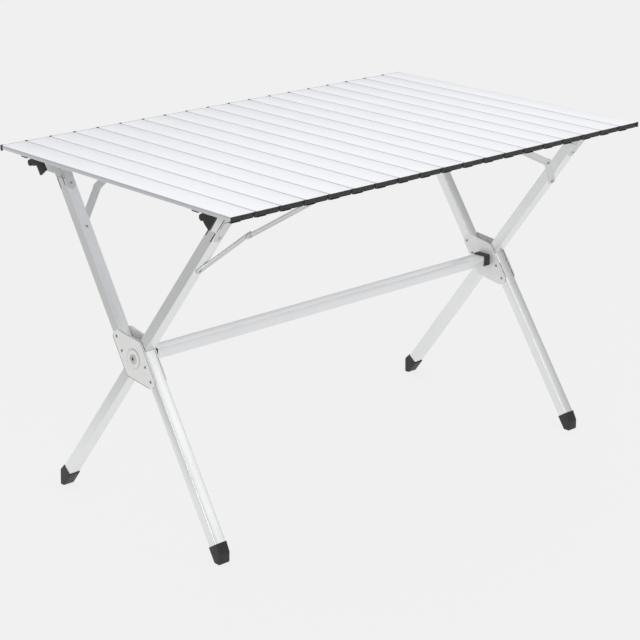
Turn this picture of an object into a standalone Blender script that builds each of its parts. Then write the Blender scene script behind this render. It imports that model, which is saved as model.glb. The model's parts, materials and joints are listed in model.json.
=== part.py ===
# Roll-top camping table on two X shaped leg frames.
# Metres, +Z up, +X along the length. The origin is on the floor, under the middle of the top.
import math

import bmesh
import bpy
from mathutils import Matrix, Vector

# Overall size
LENGTH = 1.100
WIDTH = 0.700
HEIGHT = 0.700
GAP = 0.0003

# Roll top: thin hollow slats with deeper caps at their two ends
SLATS = 19
SLAB = 0.008
SLAT_WALL = 0.0009
CAP_HIGH = 0.011
CAP_DEEP = 0.0055
SLAT_WIDTH = (LENGTH - (SLATS - 1) * GAP) / SLATS
PITCH = SLAT_WIDTH + GAP
SLAB_UNDER = HEIGHT - SLAB

# Leg tubes: the lean is measured from the vertical, the section across the leg and along X
PIVOT_Y = -0.003
PIVOT_Z = 0.3395
SPLIT_LEAN = math.radians(33.75)
LONG_LEAN = math.radians(37.3)
TUBE_X = 0.024
TUBE_ACROSS = 0.023
TUBE_WALL = 0.0015
LEG_X = 0.490
SPLIT_OFFSET = 0.0261
SPLIT_OVERRUN = 0.005
TUBE_FOOT_END = 0.394

# The leg frames lean towards each other: how far a side piece moves inwards for each metre up
SPLAY = 0.027

# Hinge plates: corners along and across the split leg, for one half of the outline
PLATE_THICK = 0.0025
PLATE_GAP = 0.0007
PLATE_HALF = (((0.067, 0.039), 0.011), ((0.067, 0.015), 0.005), ((0.021, -0.040), 0.014))
PLATE_RIVETS = (0.0262, 0.0565)
BOSS_RADIUS = 0.021
BOSS_RISE = 0.0008

# Pivot bolts
BOLT_RADIUS = 0.004
BOLT_HEAD_RADIUS = 0.008
BOLT_HEAD_HIGH = 0.0022
NUT_RADIUS = 0.0056
NUT_THICK = 0.0027

# Rivets
RIVET_RADIUS = 0.0022
RIVET_HEAD_RADIUS = 0.0034
RIVET_HEAD_HIGH = 0.001

# Feet
FOOT_SIZE = 0.0265
FRONT_RIM = 0.386
REAR_RIM = 0.3795
FRONT_TOE_Y = -0.260
REAR_TOE_Y = 0.250
SOLE_ROUND = 0.0025

# Stretcher and collars
STRETCHER_Y = 0.030
STRETCHER_Z = 0.0205
STRETCHER_WALL = 0.0015
STRETCHER_CENTRE_Z = 0.342
COLLAR_WALL = 0.0018
COLLAR_LONG = 0.0147

# Leg-top brackets and rails
BRACKET_UNDER = 0.648
BRACKET_WALL = 0.0025
BRACKET_LIP = 0.0025
LIP_UNDER = 0.640
RAIL_UNDER = 0.667
RAIL_WALL = 0.0015
TONGUE_X = 0.018
TONGUE_TIP = 0.358
TONGUE_RIVET = 0.3695

# Side stays: pins as distance from the middle of the table and distance up the leg
STAY_LOWER_PIN = (LEG_X, 0.278)
STAY_KNEE = (0.416, 0.359)
STAY_UPPER_PIN = (0.265, 0.428)
LINK_WIDTH = 0.0135
LINK_THICK = 0.003
LINK_BOSS_RADIUS = 0.005

# Latches under the left end slat: corners are from the knob's centre, towards the rear and up
LATCH_OUTER_X = -0.546
LATCH_INNER_X = -0.526
LEVER_THICK = 0.006
LATCH_TAB = 0.0037
KNOB_RADIUS = 0.0065
KNOB_CLEARANCE = 0.0085
LATCH_PIN_RADIUS = 0.0022
LATCH_BORE_RADIUS = 0.0025
FRONT_KNOB = (-0.2645, 0.6816)
FRONT_TAB_END = -0.2387
FRONT_LEVER = (
    (-0.0045, 0.0095), (-0.0383, 0.0095), (-0.0383, 0.0055), (-0.0201, -0.0202), (-0.0086, -0.0104),
)
REAR_KNOB = (0.2593, 0.6810)
REAR_TAB_END = 0.2859
REAR_LEVER = (
    (-0.0045, 0.0095), (-0.0477, 0.0080), (-0.0564, -0.0047), (-0.0350, -0.0187), (-0.0246, -0.0013),
)

# Steps in a full turn, in a rivet's full turn and in an outline's rounded corner
ROUND_STEPS = 20
RIVET_STEPS = 10
CORNER_STEPS = 3

# Cutters are longer than what they cut: drills run through a tube, blocks clear its end
DRILL_LONG = 2 * TUBE_X
CUTTER_SIZE = 0.1

AXIS_X = Vector((1, 0, 0))
AXIS_Y = Vector((0, 1, 0))
AXIS_Z = Vector((0, 0, 1))
PIVOT = Vector((0, PIVOT_Y, PIVOT_Z))

ALUMINIUM = ((0.74, 0.75, 0.76), 0.38, 1.0)
ALUMINIUM_TOP = ((0.85, 0.86, 0.88), 0.42, 1.0)
STEEL = ((0.62, 0.62, 0.62), 0.35, 1.0)
BLACK_PLASTIC = ((0.045, 0.045, 0.05), 0.5, 0.0)


def clear_scene():
    for item in list(bpy.data.objects):
        bpy.data.objects.remove(item, do_unlink=True)


def new_collection(name):
    collection = bpy.data.collections.new(name)
    bpy.context.scene.collection.children.link(collection)
    return collection


clear_scene()
TABLE = new_collection("camping_table")
CUTTERS = new_collection("cutters")


class Leg:
    """One leg's directions in the YZ plane: along runs up the leg, across is square to it, rearwards."""

    def __init__(self, lean, top_side):
        self.along = Vector((0, top_side * math.sin(lean), math.cos(lean)))
        self.across = Vector((0, math.cos(lean), -top_side * math.sin(lean)))

    def point(self, x, along, across):
        return PIVOT + AXIS_X * x + self.along * along + self.across * across

    def along_at_height(self, height, across):
        """The distance up the leg at which a line at this offset across reaches a height."""
        return (height - PIVOT_Z - self.across.z * across) / self.along.z

    def along_at_y(self, y, across):
        return (y - PIVOT_Y - self.across.y * across) / self.along.y


SPLIT_LEG = Leg(SPLIT_LEAN, 1)
LONG_LEG = Leg(LONG_LEAN, -1)


def axes_matrix(x_axis, y_axis, z_axis, place):
    matrix = Matrix((x_axis, y_axis, z_axis)).transposed().to_4x4()
    matrix.translation = place
    return matrix


def side_word(side):
    return "left" if side < 0 else "right"


def dress(part, finish):
    """Give a part a material of its own."""
    colour, roughness, metallic = finish
    material = bpy.data.materials.new(part.name)
    material.use_nodes = True
    shader = material.node_tree.nodes["Principled BSDF"]
    shader.inputs["Base Color"].default_value = (*colour, 1)
    shader.inputs["Roughness"].default_value = roughness
    shader.inputs["Metallic"].default_value = metallic
    part.data.materials.append(material)


def add_object(name, mesh, matrix, finish=None):
    """Place a mesh as a part, or as a cutter when it has no finish."""
    part = bpy.data.objects.new(name, mesh)
    part.matrix_world = matrix
    if finish is None:
        CUTTERS.objects.link(part)
        part.hide_render = True
        part.display_type = "WIRE"
    else:
        TABLE.objects.link(part)
        dress(part, finish)
    return part


def mesh_from_shape(name, shape):
    mesh = bpy.data.meshes.new(name)
    shape.to_mesh(mesh)
    shape.free()
    return mesh


def box(name, size, matrix, finish=None):
    shape = bmesh.new()
    bmesh.ops.create_cube(shape, size=1)
    bmesh.ops.scale(shape, vec=size, verts=shape.verts)
    return add_object(name, mesh_from_shape(name, shape), matrix, finish)


def box_between(name, xs, ys, zs, finish=None):
    """A box between two values on each axis."""
    ranges = (xs, ys, zs)
    size = [high - low for low, high in ranges]
    centre = Vector([(low + high) / 2 for low, high in ranges])
    return box(name, size, Matrix.Translation(centre), finish)


def cylinder(name, radius, depth, matrix, steps=RIVET_STEPS):
    shape = bmesh.new()
    bmesh.ops.create_cone(shape, cap_ends=True, segments=steps, radius1=radius, radius2=radius, depth=depth)
    return add_object(name, mesh_from_shape(name, shape), matrix)


def extrusion(name, loops, depth, matrix, finish=None):
    """Flat loops in local XY, the first one the outline and the others holes, made thick about local Z."""
    curve = bpy.data.curves.new(name, "CURVE")
    curve.dimensions = "2D"
    curve.fill_mode = "BOTH"
    curve.extrude = depth / 2
    for loop in loops:
        spline = curve.splines.new("POLY")
        spline.points.add(len(loop) - 1)
        for point, (u, v) in zip(spline.points, loop):
            point.co = (u, v, 0, 1)
        spline.use_cyclic_u = True
    outline = bpy.data.objects.new(name + "_outline", curve)
    CUTTERS.objects.link(outline)
    depsgraph = bpy.context.evaluated_depsgraph_get()
    mesh = bpy.data.meshes.new_from_object(outline.evaluated_get(depsgraph))
    bpy.data.objects.remove(outline)
    shape = bmesh.new()
    shape.from_mesh(mesh)
    bmesh.ops.remove_doubles(shape, verts=shape.verts, dist=0.00001)
    bmesh.ops.recalc_face_normals(shape, faces=shape.faces)
    shape.to_mesh(mesh)
    shape.free()
    mesh.name = name
    return add_object(name, mesh, matrix, finish)


def turned(name, profile, matrix, finish=None, steps=RIVET_STEPS):
    """A turned piece: the profile's (radius, height) points run from its top to its foot."""
    mesh = bpy.data.meshes.new(name)
    points = [(radius, 0, height) for radius, height in profile]
    edges = [(index, index + 1) for index in range(len(points) - 1)]
    mesh.from_pydata(points, edges, [])
    part = add_object(name, mesh, matrix, finish)
    screw = part.modifiers.new("turn", "SCREW")
    screw.axis = "Z"
    screw.angle = math.radians(360)
    screw.steps = steps
    screw.render_steps = steps
    screw.use_merge_vertices = True
    screw.merge_threshold = 0.00001
    return part


def combine(part, other, operation):
    change = part.modifiers.new(operation.lower(), "BOOLEAN")
    change.operation = operation
    change.solver = "EXACT"
    change.object = other


def cut(part, cutter):
    combine(part, cutter, "DIFFERENCE")


def join(part, other):
    combine(part, other, "UNION")


def rectangle(width, height, centre=(0, 0)):
    signs = ((-1, -1), (1, -1), (1, 1), (-1, 1))
    return [(centre[0] + u * width / 2, centre[1] + v * height / 2) for u, v in signs]


def circle(centre, radius):
    turns = [2 * math.pi * step / ROUND_STEPS for step in range(ROUND_STEPS)]
    return [(centre[0] + radius * math.cos(turn), centre[1] + radius * math.sin(turn)) for turn in turns]


def rounded(corners, radii):
    """A closed outline whose corners are rounded, each by its own radius; zero keeps a corner sharp."""
    outline = []
    for index, radius in enumerate(radii):
        corner = Vector(corners[index])
        if radius == 0:
            outline.append(tuple(corner))
            continue
        back = (Vector(corners[index - 1]) - corner).normalized()
        ahead = (Vector(corners[(index + 1) % len(corners)]) - corner).normalized()
        half = back.angle(ahead) / 2
        centre = corner + (back + ahead).normalized() * (radius / math.sin(half))
        start = corner + back * (radius / math.tan(half)) - centre
        end = corner + ahead * (radius / math.tan(half)) - centre
        for step in range(CORNER_STEPS + 1):
            mix = start.slerp(end, step / CORNER_STEPS)
            outline.append(tuple(centre + mix.normalized() * radius))
    return outline


def capsule(first, last, width):
    """The outline of a flat link: straight sides and round ends about two pins."""
    axis = Vector(last) - Vector(first)
    heading = math.atan2(axis.y, axis.x)
    half_turn = RIVET_STEPS
    outline = []
    for centre, start in ((last, heading - math.pi / 2), (first, heading + math.pi / 2)):
        for step in range(half_turn + 1):
            turn = start + math.pi * step / half_turn
            outline.append((centre[0] + width / 2 * math.cos(turn), centre[1] + width / 2 * math.sin(turn)))
    return outline


def make_slats():
    """Hollow slats, open at both ends. Each one's origin is on its hinge line with the slat to its left."""
    middle = GAP / 2 + SLAT_WIDTH / 2
    outer = rectangle(SLAT_WIDTH, CAP_HIGH, (middle, CAP_HIGH / 2))
    inner = rectangle(SLAT_WIDTH - 2 * SLAT_WALL, SLAB - 2 * SLAT_WALL, (middle, SLAB / 2))
    between_caps = (CAP_DEEP - WIDTH / 2, WIDTH / 2 - CAP_DEEP)
    for index in range(SLATS):
        hinge_x = -LENGTH / 2 - GAP / 2 + index * PITCH
        name = f"slat_{index + 1:02d}"
        matrix = axes_matrix(AXIS_X, -AXIS_Z, AXIS_Y, Vector((hinge_x, 0, HEIGHT)))
        slat = extrusion(name, [outer, inner], WIDTH, matrix, ALUMINIUM_TOP)
        wide = (hinge_x - PITCH, hinge_x + 2 * PITCH)
        cut(slat, box_between(name + "_underside", wide, between_caps, (SLAB_UNDER - SLAB, SLAB_UNDER)))


def across_matrix(leg, x, along):
    """A frame whose Z runs across the leg, for rivets and their holes."""
    return axes_matrix(AXIS_X, -leg.along, leg.across, leg.point(x, along, 0))


def rivet_hole(name, leg, x, along, across):
    matrix = across_matrix(leg, x, along)
    matrix.translation = leg.point(x, along, across)
    return cylinder(name, RIVET_RADIUS + GAP, DRILL_LONG, matrix)


def tube(name, leg, side, low, high, across):
    """A leg tube between two distances along its leg."""
    hollow = rectangle(TUBE_X - 2 * TUBE_WALL, TUBE_ACROSS - 2 * TUBE_WALL)
    centre = leg.point(side * LEG_X, (low + high) / 2, across)
    matrix = axes_matrix(AXIS_X, leg.across, leg.along, centre)
    return extrusion(name, [rectangle(TUBE_X, TUBE_ACROSS), hollow], high - low, matrix, ALUMINIUM)


def trim_top(part, name):
    """Cut a leg tube level, just below its bracket."""
    x = part.matrix_world.translation.x
    low = BRACKET_UNDER - GAP
    cut(part, box_between(name, (x - TUBE_X, x + TUBE_X), (-WIDTH / 2, WIDTH / 2), (low, low + CUTTER_SIZE)))


def drill_top(part, name, leg, side, across):
    """The holes for the bracket's rivet and the stay's rivet."""
    for word, along in (("bracket", TONGUE_RIVET), ("stay", STAY_LOWER_PIN[1])):
        cut(part, rivet_hole(f"{name}_{word}_hole", leg, side * LEG_X, along, across))


def long_leg_path(side):
    """The room that the long leg takes between the split leg's two tubes."""
    size = (DRILL_LONG, TUBE_ACROSS + 2 * GAP, CUTTER_SIZE)
    matrix = axes_matrix(AXIS_X, LONG_LEG.across, LONG_LEG.along, LONG_LEG.point(side * LEG_X, 0, 0))
    return box(f"long_leg_{side_word(side)}_path", size, matrix)


def make_split_leg(side):
    """The leg in two lengths on opposite sides of the pivot, their inner ends cut along the long leg."""
    word = side_word(side)
    top = SPLIT_LEG.along_at_height(BRACKET_UNDER, SPLIT_OFFSET) + TUBE_ACROSS / 2
    upper = tube(f"split_leg_upper_{word}", SPLIT_LEG, side, -SPLIT_OVERRUN, top, SPLIT_OFFSET)
    trim_top(upper, f"split_leg_{word}_trim")
    drill_top(upper, f"split_leg_{word}", SPLIT_LEG, side, SPLIT_OFFSET)
    lower = tube(f"split_leg_lower_{word}", SPLIT_LEG, side, -TUBE_FOOT_END, SPLIT_OVERRUN, -SPLIT_OFFSET)
    path = long_leg_path(side)
    for part, sign in ((upper, 1), (lower, -1)):
        cut(part, path)
        for along in PLATE_RIVETS:
            place = SPLIT_LEG.point(side * LEG_X, sign * along, sign * SPLIT_OFFSET)
            matrix = axes_matrix(AXIS_Y, AXIS_Z, AXIS_X, place)
            cut(part, cylinder(f"{part.name}_plate_hole_{along}", RIVET_RADIUS + GAP, DRILL_LONG, matrix))


def make_long_leg(side, frame):
    """The straight leg, drilled for the pivot bolt."""
    word = side_word(side)
    top = LONG_LEG.along_at_height(BRACKET_UNDER, 0) + TUBE_ACROSS / 2
    leg = tube(f"long_leg_{word}", LONG_LEG, side, -TUBE_FOOT_END, top, 0)
    trim_top(leg, f"long_leg_{word}_trim")
    drill_top(leg, f"long_leg_{word}", LONG_LEG, side, 0)
    matrix = axes_matrix(AXIS_Y, AXIS_Z, AXIS_X, PIVOT + AXIS_X * side * LEG_X)
    hole_radius = BOLT_RADIUS + 2 * GAP
    cut(leg, cylinder(f"long_leg_{word}_pivot_hole", hole_radius, DRILL_LONG, matrix, ROUND_STEPS))
    attach(leg, frame)


def outward_matrix(side, place):
    """A frame whose Z points outwards along X at one end of the table."""
    if side > 0:
        return axes_matrix(AXIS_Y, AXIS_Z, AXIS_X, place)
    return axes_matrix(AXIS_Z, AXIS_Y, -AXIS_X, place)


def disc_profile(radius, low, high):
    return [(0, high), (radius, high), (radius, low), (0, low)]


def rivet_profile(low, high):
    """A rivet with a head above high; its plain shank ends at low."""
    top = high + RIVET_HEAD_HIGH
    head = [(0, top), (RIVET_HEAD_RADIUS, top), (RIVET_HEAD_RADIUS, high)]
    return head + [(RIVET_RADIUS, high), (RIVET_RADIUS, low), (0, low)]


def two_headed_profile(low, high):
    """A rivet with a head above high and another below low."""
    end = low - RIVET_HEAD_HIGH
    return rivet_profile(low, high)[:-1] + [(RIVET_HEAD_RADIUS, low), (RIVET_HEAD_RADIUS, end), (0, end)]


def plate_outline():
    """The plate seen along X, as points across and along the split leg; it looks the same upside down."""
    half = [(across, along) for (along, across), radius in PLATE_HALF]
    radii = [radius for corner, radius in PLATE_HALF]
    opposite = [(-across, -along) for across, along in half]
    return rounded(half + opposite, radii + radii)


def make_hinge_plates(side):
    """Two plates hold the split leg's tubes; the outer one carries the four rivets."""
    word = side_word(side)
    hole = circle((0, 0), BOLT_RADIUS + GAP)
    outer_x = LEG_X + TUBE_X / 2 + PLATE_GAP + PLATE_THICK / 2
    inner_x = LEG_X - TUBE_X / 2 - PLATE_GAP - PLATE_THICK / 2
    outer_face = outer_x + PLATE_THICK / 2
    plates = {}
    for place_word, x in (("outer", outer_x), ("inner", inner_x)):
        matrix = axes_matrix(SPLIT_LEG.across, SPLIT_LEG.along, AXIS_X, PIVOT + AXIS_X * side * x)
        plates[place_word] = extrusion(f"hinge_plate_{place_word}_{word}", [plate_outline(), hole],
                                       PLATE_THICK, matrix, ALUMINIUM)
    boss_place = PIVOT + AXIS_X * side * (outer_face + BOSS_RISE / 2 - GAP)
    boss_matrix = axes_matrix(AXIS_Y, AXIS_Z, AXIS_X, boss_place)
    boss = extrusion(f"hinge_boss_{word}", [circle((0, 0), BOSS_RADIUS), hole], BOSS_RISE + GAP, boss_matrix)
    join(plates["outer"], boss)
    shank_end = inner_x + PLATE_THICK / 2 + GAP
    for sign in (1, -1):
        for along in PLATE_RIVETS:
            centre = SPLIT_LEG.point(0, sign * along, sign * SPLIT_OFFSET)
            profile = rivet_profile(shank_end, outer_face)
            rivet = turned(f"plate_rivet_{word}_{sign}_{along}", profile, outward_matrix(side, centre))
            join(plates["outer"], rivet)
            head_x = inner_x - PLATE_THICK / 2 - RIVET_HEAD_HIGH / 2 + GAP
            matrix = axes_matrix(AXIS_Y, AXIS_Z, AXIS_X, centre + AXIS_X * side * head_x)
            head = cylinder(f"plate_head_{word}_{sign}_{along}", RIVET_HEAD_RADIUS, RIVET_HEAD_HIGH, matrix)
            join(plates["inner"], head)


def make_pivot_bolt(side):
    """The bolt that a leg frame turns on, with its head outside and its nut inside the stretcher."""
    head_under = LEG_X + TUBE_X / 2 + PLATE_GAP + PLATE_THICK + BOSS_RISE + GAP
    head_top = head_under + BOLT_HEAD_HIGH
    nut_outer = LEG_X - TUBE_X / 2 - PLATE_GAP - PLATE_THICK - GAP
    nut_end = nut_outer - NUT_THICK
    head = [(0, head_top), (BOLT_HEAD_RADIUS, head_top), (BOLT_HEAD_RADIUS, head_under)]
    shank = [(BOLT_RADIUS, head_under), (BOLT_RADIUS, nut_outer)]
    profile = head + shank + [(NUT_RADIUS, nut_outer), (NUT_RADIUS, nut_end), (0, nut_end)]
    turned(f"pivot_bolt_{side_word(side)}", profile, outward_matrix(side, PIVOT), STEEL, ROUND_STEPS)


def foot_outline(leg, across, outward, rim, toe_y):
    """A foot seen along X: it follows the leg's sides, with an upright toe and a level sole."""
    outer = across + outward * FOOT_SIZE / 2
    inner = across - outward * FOOT_SIZE / 2
    rim_outer = leg.point(0, -rim, outer)
    rim_inner = leg.point(0, -rim, inner)
    heel = leg.point(0, leg.along_at_height(0, inner), inner)
    toe_top = leg.point(0, leg.along_at_y(toe_y, outer), outer)
    corners = [(rim_outer.y, rim_outer.z), (rim_inner.y, rim_inner.z), (heel.y, 0), (toe_y, 0)]
    return rounded(corners + [(toe_y, toe_top.z)], [0, 0, SOLE_ROUND, SOLE_ROUND, SOLE_ROUND])


def make_foot(name, leg, side, across, outward, rim, toe_y):
    matrix = axes_matrix(AXIS_Y, AXIS_Z, AXIS_X, AXIS_X * side * LEG_X)
    outline = foot_outline(leg, across, outward, rim, toe_y)
    foot = extrusion(name, [outline], FOOT_SIZE, matrix, BLACK_PLASTIC)
    size = (TUBE_X + 2 * GAP, TUBE_ACROSS + 2 * GAP, CUTTER_SIZE)
    centre = leg.point(side * LEG_X, CUTTER_SIZE / 2 - TUBE_FOOT_END - GAP, across)
    cut(foot, box(f"{name}_socket", size, axes_matrix(AXIS_X, leg.across, leg.along, centre)))
    return foot


def make_stretcher():
    """The tube between the inner hinge plates. Its square ends meet them at the top edge first."""
    lean_in = SPLAY * (STRETCHER_CENTRE_Z + STRETCHER_Z / 2 - PIVOT_Z)
    half = LEG_X - TUBE_X / 2 - PLATE_GAP - PLATE_THICK - GAP - lean_in
    loops = [
        rectangle(STRETCHER_Y, STRETCHER_Z),
        rectangle(STRETCHER_Y - 2 * STRETCHER_WALL, STRETCHER_Z - 2 * STRETCHER_WALL),
    ]
    place = Vector((0, PIVOT_Y, STRETCHER_CENTRE_Z))
    extrusion("stretcher", loops, 2 * half, axes_matrix(AXIS_Y, AXIS_Z, AXIS_X, place), ALUMINIUM)
    around = 2 * (COLLAR_WALL + GAP)
    collar = [
        rectangle(STRETCHER_Y + around, STRETCHER_Z + around),
        rectangle(STRETCHER_Y + 2 * GAP, STRETCHER_Z + 2 * GAP),
    ]
    for side in (-1, 1):
        matrix = axes_matrix(AXIS_Y, AXIS_Z, AXIS_X, place + AXIS_X * side * (half - COLLAR_LONG / 2))
        extrusion(f"stretcher_collar_{side_word(side)}", collar, COLLAR_LONG, matrix, BLACK_PLASTIC)


def leg_slice(leg, across, low, high, inset):
    """A level slice of a leg seen along X, with its walls moved in by the inset."""
    corners = []
    reach = TUBE_ACROSS / 2 - inset
    for height, sides in ((low + inset, (-1, 1)), (high - inset, (1, -1))):
        for sign in sides:
            offset = across + sign * reach
            point = leg.point(0, leg.along_at_height(height, offset), offset)
            corners.append((point.y, point.z))
    return corners


def bracket_block(name, leg, side, across, lip):
    """A level block on the leg's top, hollow towards the rail, with a lip over the tube's outer face."""
    top = SLAB_UNDER - GAP

    def seen_along_x(part_name, low, high, inset, x, wide, finish=None):
        matrix = axes_matrix(AXIS_Y, AXIS_Z, AXIS_X, AXIS_X * side * x)
        return extrusion(part_name, [leg_slice(leg, across, low, high, inset)], wide, matrix, finish)

    block = seen_along_x(name, BRACKET_UNDER, top, 0, LEG_X + lip / 2, TUBE_X + lip, ALUMINIUM)
    pocket_x = LEG_X - BRACKET_WALL
    cut(block, seen_along_x(name + "_pocket", BRACKET_UNDER, top, BRACKET_WALL, pocket_x, TUBE_X))
    if lip:
        lip_x = LEG_X + TUBE_X / 2 + (GAP + lip) / 2
        lip_top = BRACKET_UNDER + BRACKET_WALL
        join(block, seen_along_x(name + "_lip", LIP_UNDER, lip_top, 0, lip_x, lip - GAP))
    return block


def make_bracket(name, leg, side, across, lip=0):
    """A leg-top block with a tongue that is riveted into the tube."""
    bracket = bracket_block(name, leg, side, across, lip)
    thick = TUBE_ACROSS - 2 * TUBE_WALL - 2 * GAP
    high = leg.along_at_height(BRACKET_UNDER, across) + TUBE_ACROSS / 2
    centre = leg.point(side * LEG_X, (TONGUE_TIP + high) / 2, across)
    tongue_matrix = axes_matrix(AXIS_X, leg.across, leg.along, centre)
    join(bracket, box(name + "_tongue", (TONGUE_X, thick, high - TONGUE_TIP), tongue_matrix))
    rivet_matrix = across_matrix(leg, side * LEG_X, TONGUE_RIVET)
    rivet_matrix.translation = leg.point(side * LEG_X, TONGUE_RIVET, across)
    face = TUBE_ACROSS / 2 + GAP
    join(bracket, turned(name + "_rivet", two_headed_profile(-face, face), rivet_matrix))
    return bracket


def make_rail(name, leg, across):
    """A rail between the brackets of the two sides. Its square ends meet them at the top edge first."""
    half = LEG_X - TUBE_X / 2 - GAP - SPLAY * (SLAB_UNDER - PIVOT_Z)
    top = SLAB_UNDER - GAP
    loops = [leg_slice(leg, across, RAIL_UNDER, top, 0), leg_slice(leg, across, RAIL_UNDER, top, RAIL_WALL)]
    return extrusion(name, loops, 2 * half, axes_matrix(AXIS_Y, AXIS_Z, AXIS_X, Vector()), ALUMINIUM)


def make_stay(word, leg, side, across, outward):
    """Two flat links on the outer face of the leg and the rail; outward is that face's side of the leg."""
    pins = (STAY_LOWER_PIN, STAY_KNEE, STAY_UPPER_PIN)
    lower_pin, knee, upper_pin = [(side * x, along) for x, along in pins]
    face = TUBE_ACROSS / 2 + GAP
    lower_top = face + LINK_THICK
    upper_under = lower_top + GAP
    upper_top = upper_under + LINK_THICK

    def link(name, first, last, under):
        place = leg.point(0, 0, across + outward * (under + LINK_THICK / 2))
        matrix = axes_matrix(AXIS_X, leg.along, -leg.across, place)
        return extrusion(name, [capsule(first, last, LINK_WIDTH)], LINK_THICK, matrix, ALUMINIUM)

    def pin_matrix(pin):
        """A frame whose Z points away from the leg at a pin."""
        place = leg.point(pin[0], pin[1], across)
        if outward > 0:
            return axes_matrix(AXIS_X, -leg.along, leg.across, place)
        return axes_matrix(AXIS_X, leg.along, -leg.across, place)

    lower_name = f"stay_lower_{word}_{side_word(side)}"
    lower = link(lower_name, lower_pin, knee, face)
    rivet = two_headed_profile(-face, lower_top - GAP)
    join(lower, turned(lower_name + "_rivet", rivet, pin_matrix(lower_pin)))

    upper_name = f"stay_upper_{word}_{side_word(side)}"
    upper = link(upper_name, knee, upper_pin, upper_under)
    spacer = disc_profile(LINK_BOSS_RADIUS, face, upper_under + GAP)
    join(upper, turned(upper_name + "_spacer", spacer, pin_matrix(upper_pin)))
    head = disc_profile(RIVET_HEAD_RADIUS, upper_top - GAP, upper_top + RIVET_HEAD_HIGH)
    for pin_word, pin in (("knee", knee), ("end", upper_pin)):
        join(upper, turned(f"{upper_name}_{pin_word}_head", head, pin_matrix(pin)))
    return lower, upper


def lever_outline(corners):
    """A latch lever seen along X: the round knob runs into an arm and a hook."""
    start = math.atan2(corners[-1][1], corners[-1][0])
    last = math.atan2(corners[0][1], corners[0][0])
    sweep = (last - start) % (2 * math.pi)
    outline = []
    for step in range(ROUND_STEPS // 2 + 1):
        turn = start + sweep * step / (ROUND_STEPS // 2)
        outline.append((KNOB_RADIUS * math.cos(turn), KNOB_RADIUS * math.sin(turn)))
    return outline + list(corners)


def make_latch(word, knob, tab_end, corners):
    """A latch: its base hangs on the left end slat and carries the pin that the lever turns on."""
    knob_y, knob_z = knob
    top = SLAB_UNDER - GAP
    body_x = LATCH_OUTER_X + LEVER_THICK + GAP
    name = f"{word}_latch_base"
    base = box_between(name, (LATCH_OUTER_X, LATCH_INNER_X), (knob_y - KNOB_RADIUS, tab_end),
                       (knob_z - KNOB_RADIUS, top), BLACK_PLASTIC)
    before_body = (LATCH_OUTER_X - LEVER_THICK, body_x)
    lever_y = (knob_y - CUTTER_SIZE, knob_y + KNOB_CLEARANCE)
    all_y = (knob_y - CUTTER_SIZE, knob_y + CUTTER_SIZE)
    below = knob_z - CUTTER_SIZE
    cut(base, box_between(name + "_lever_room", before_body, lever_y, (below, knob_z + CUTTER_SIZE)))
    cut(base, box_between(name + "_tab_room", before_body, all_y, (below, top - LATCH_TAB)))
    pin_x = (LATCH_OUTER_X + GAP, (body_x + LATCH_INNER_X) / 2)
    pin_matrix = axes_matrix(AXIS_Y, AXIS_Z, AXIS_X, Vector((sum(pin_x) / 2, knob_y, knob_z)))
    join(base, cylinder(name + "_pin", LATCH_PIN_RADIUS, pin_x[1] - pin_x[0], pin_matrix))
    lever_place = Vector((LATCH_OUTER_X + LEVER_THICK / 2, knob_y, knob_z))
    loops = [lever_outline(corners), circle((0, 0), LATCH_BORE_RADIUS)]
    matrix = axes_matrix(AXIS_Y, AXIS_Z, AXIS_X, lever_place)
    extrusion(f"{word}_latch_lever", loops, LEVER_THICK, matrix, BLACK_PLASTIC)


def attach(part, empty):
    part.parent = empty
    part.matrix_parent_inverse = Matrix.Translation(-empty.location)


def make_empty(name, place):
    empty = bpy.data.objects.new(name, None)
    empty.location = place
    TABLE.objects.link(empty)
    return empty


def make_leg_frames():
    """The split legs are the fixed frame; everything on the long legs hangs on the pivot's empty."""
    pivot_axis = make_empty("scissor_axis", PIVOT)
    for side in (-1, 1):
        word = side_word(side)
        make_split_leg(side)
        make_hinge_plates(side)
        make_pivot_bolt(side)
        make_foot(f"foot_front_{word}", SPLIT_LEG, side, -SPLIT_OFFSET, -1, FRONT_RIM, FRONT_TOE_Y)
        make_bracket(f"bracket_rear_{word}", SPLIT_LEG, side, SPLIT_OFFSET)
        make_stay("rear", SPLIT_LEG, side, SPLIT_OFFSET, 1)
        make_long_leg(side, pivot_axis)
        moving = [
            make_foot(f"foot_rear_{word}", LONG_LEG, side, 0, 1, REAR_RIM, REAR_TOE_Y),
            make_bracket(f"bracket_front_{word}", LONG_LEG, side, 0, BRACKET_LIP),
            *make_stay("front", LONG_LEG, side, 0, -1),
        ]
        for part in moving:
            attach(part, pivot_axis)
    make_rail("rail_rear", SPLIT_LEG, SPLIT_OFFSET)
    attach(make_rail("rail_front", LONG_LEG, 0), pivot_axis)


def splay_sides():
    """Lean each leg frame inwards: its pieces are sheared along X about the pivot's height.

    A shear keeps flat faces flat and the frame's pieces in contact. An object's own matrix can't hold one, so
    it goes into the mesh, with the modifiers applied.
    """
    bpy.context.view_layer.update()
    depsgraph = bpy.context.evaluated_depsgraph_get()
    meshes = {}
    for part in TABLE.objects:
        if part.name.endswith(("_left", "_right")):
            meshes[part] = bpy.data.meshes.new_from_object(part.evaluated_get(depsgraph))
    for part, mesh in meshes.items():
        side = -1 if part.name.endswith("_left") else 1
        lean = Matrix.Identity(4)
        lean[0][2] = -side * SPLAY
        lean.translation = AXIS_X * side * SPLAY * PIVOT_Z
        mesh.transform(part.matrix_world.inverted() @ lean @ part.matrix_world)
        part.modifiers.clear()
        part.data = mesh


make_slats()
make_leg_frames()
make_stretcher()
make_latch("front", FRONT_KNOB, FRONT_TAB_END, FRONT_LEVER)
make_latch("rear", REAR_KNOB, REAR_TAB_END, REAR_LEVER)
splay_sides()
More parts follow.
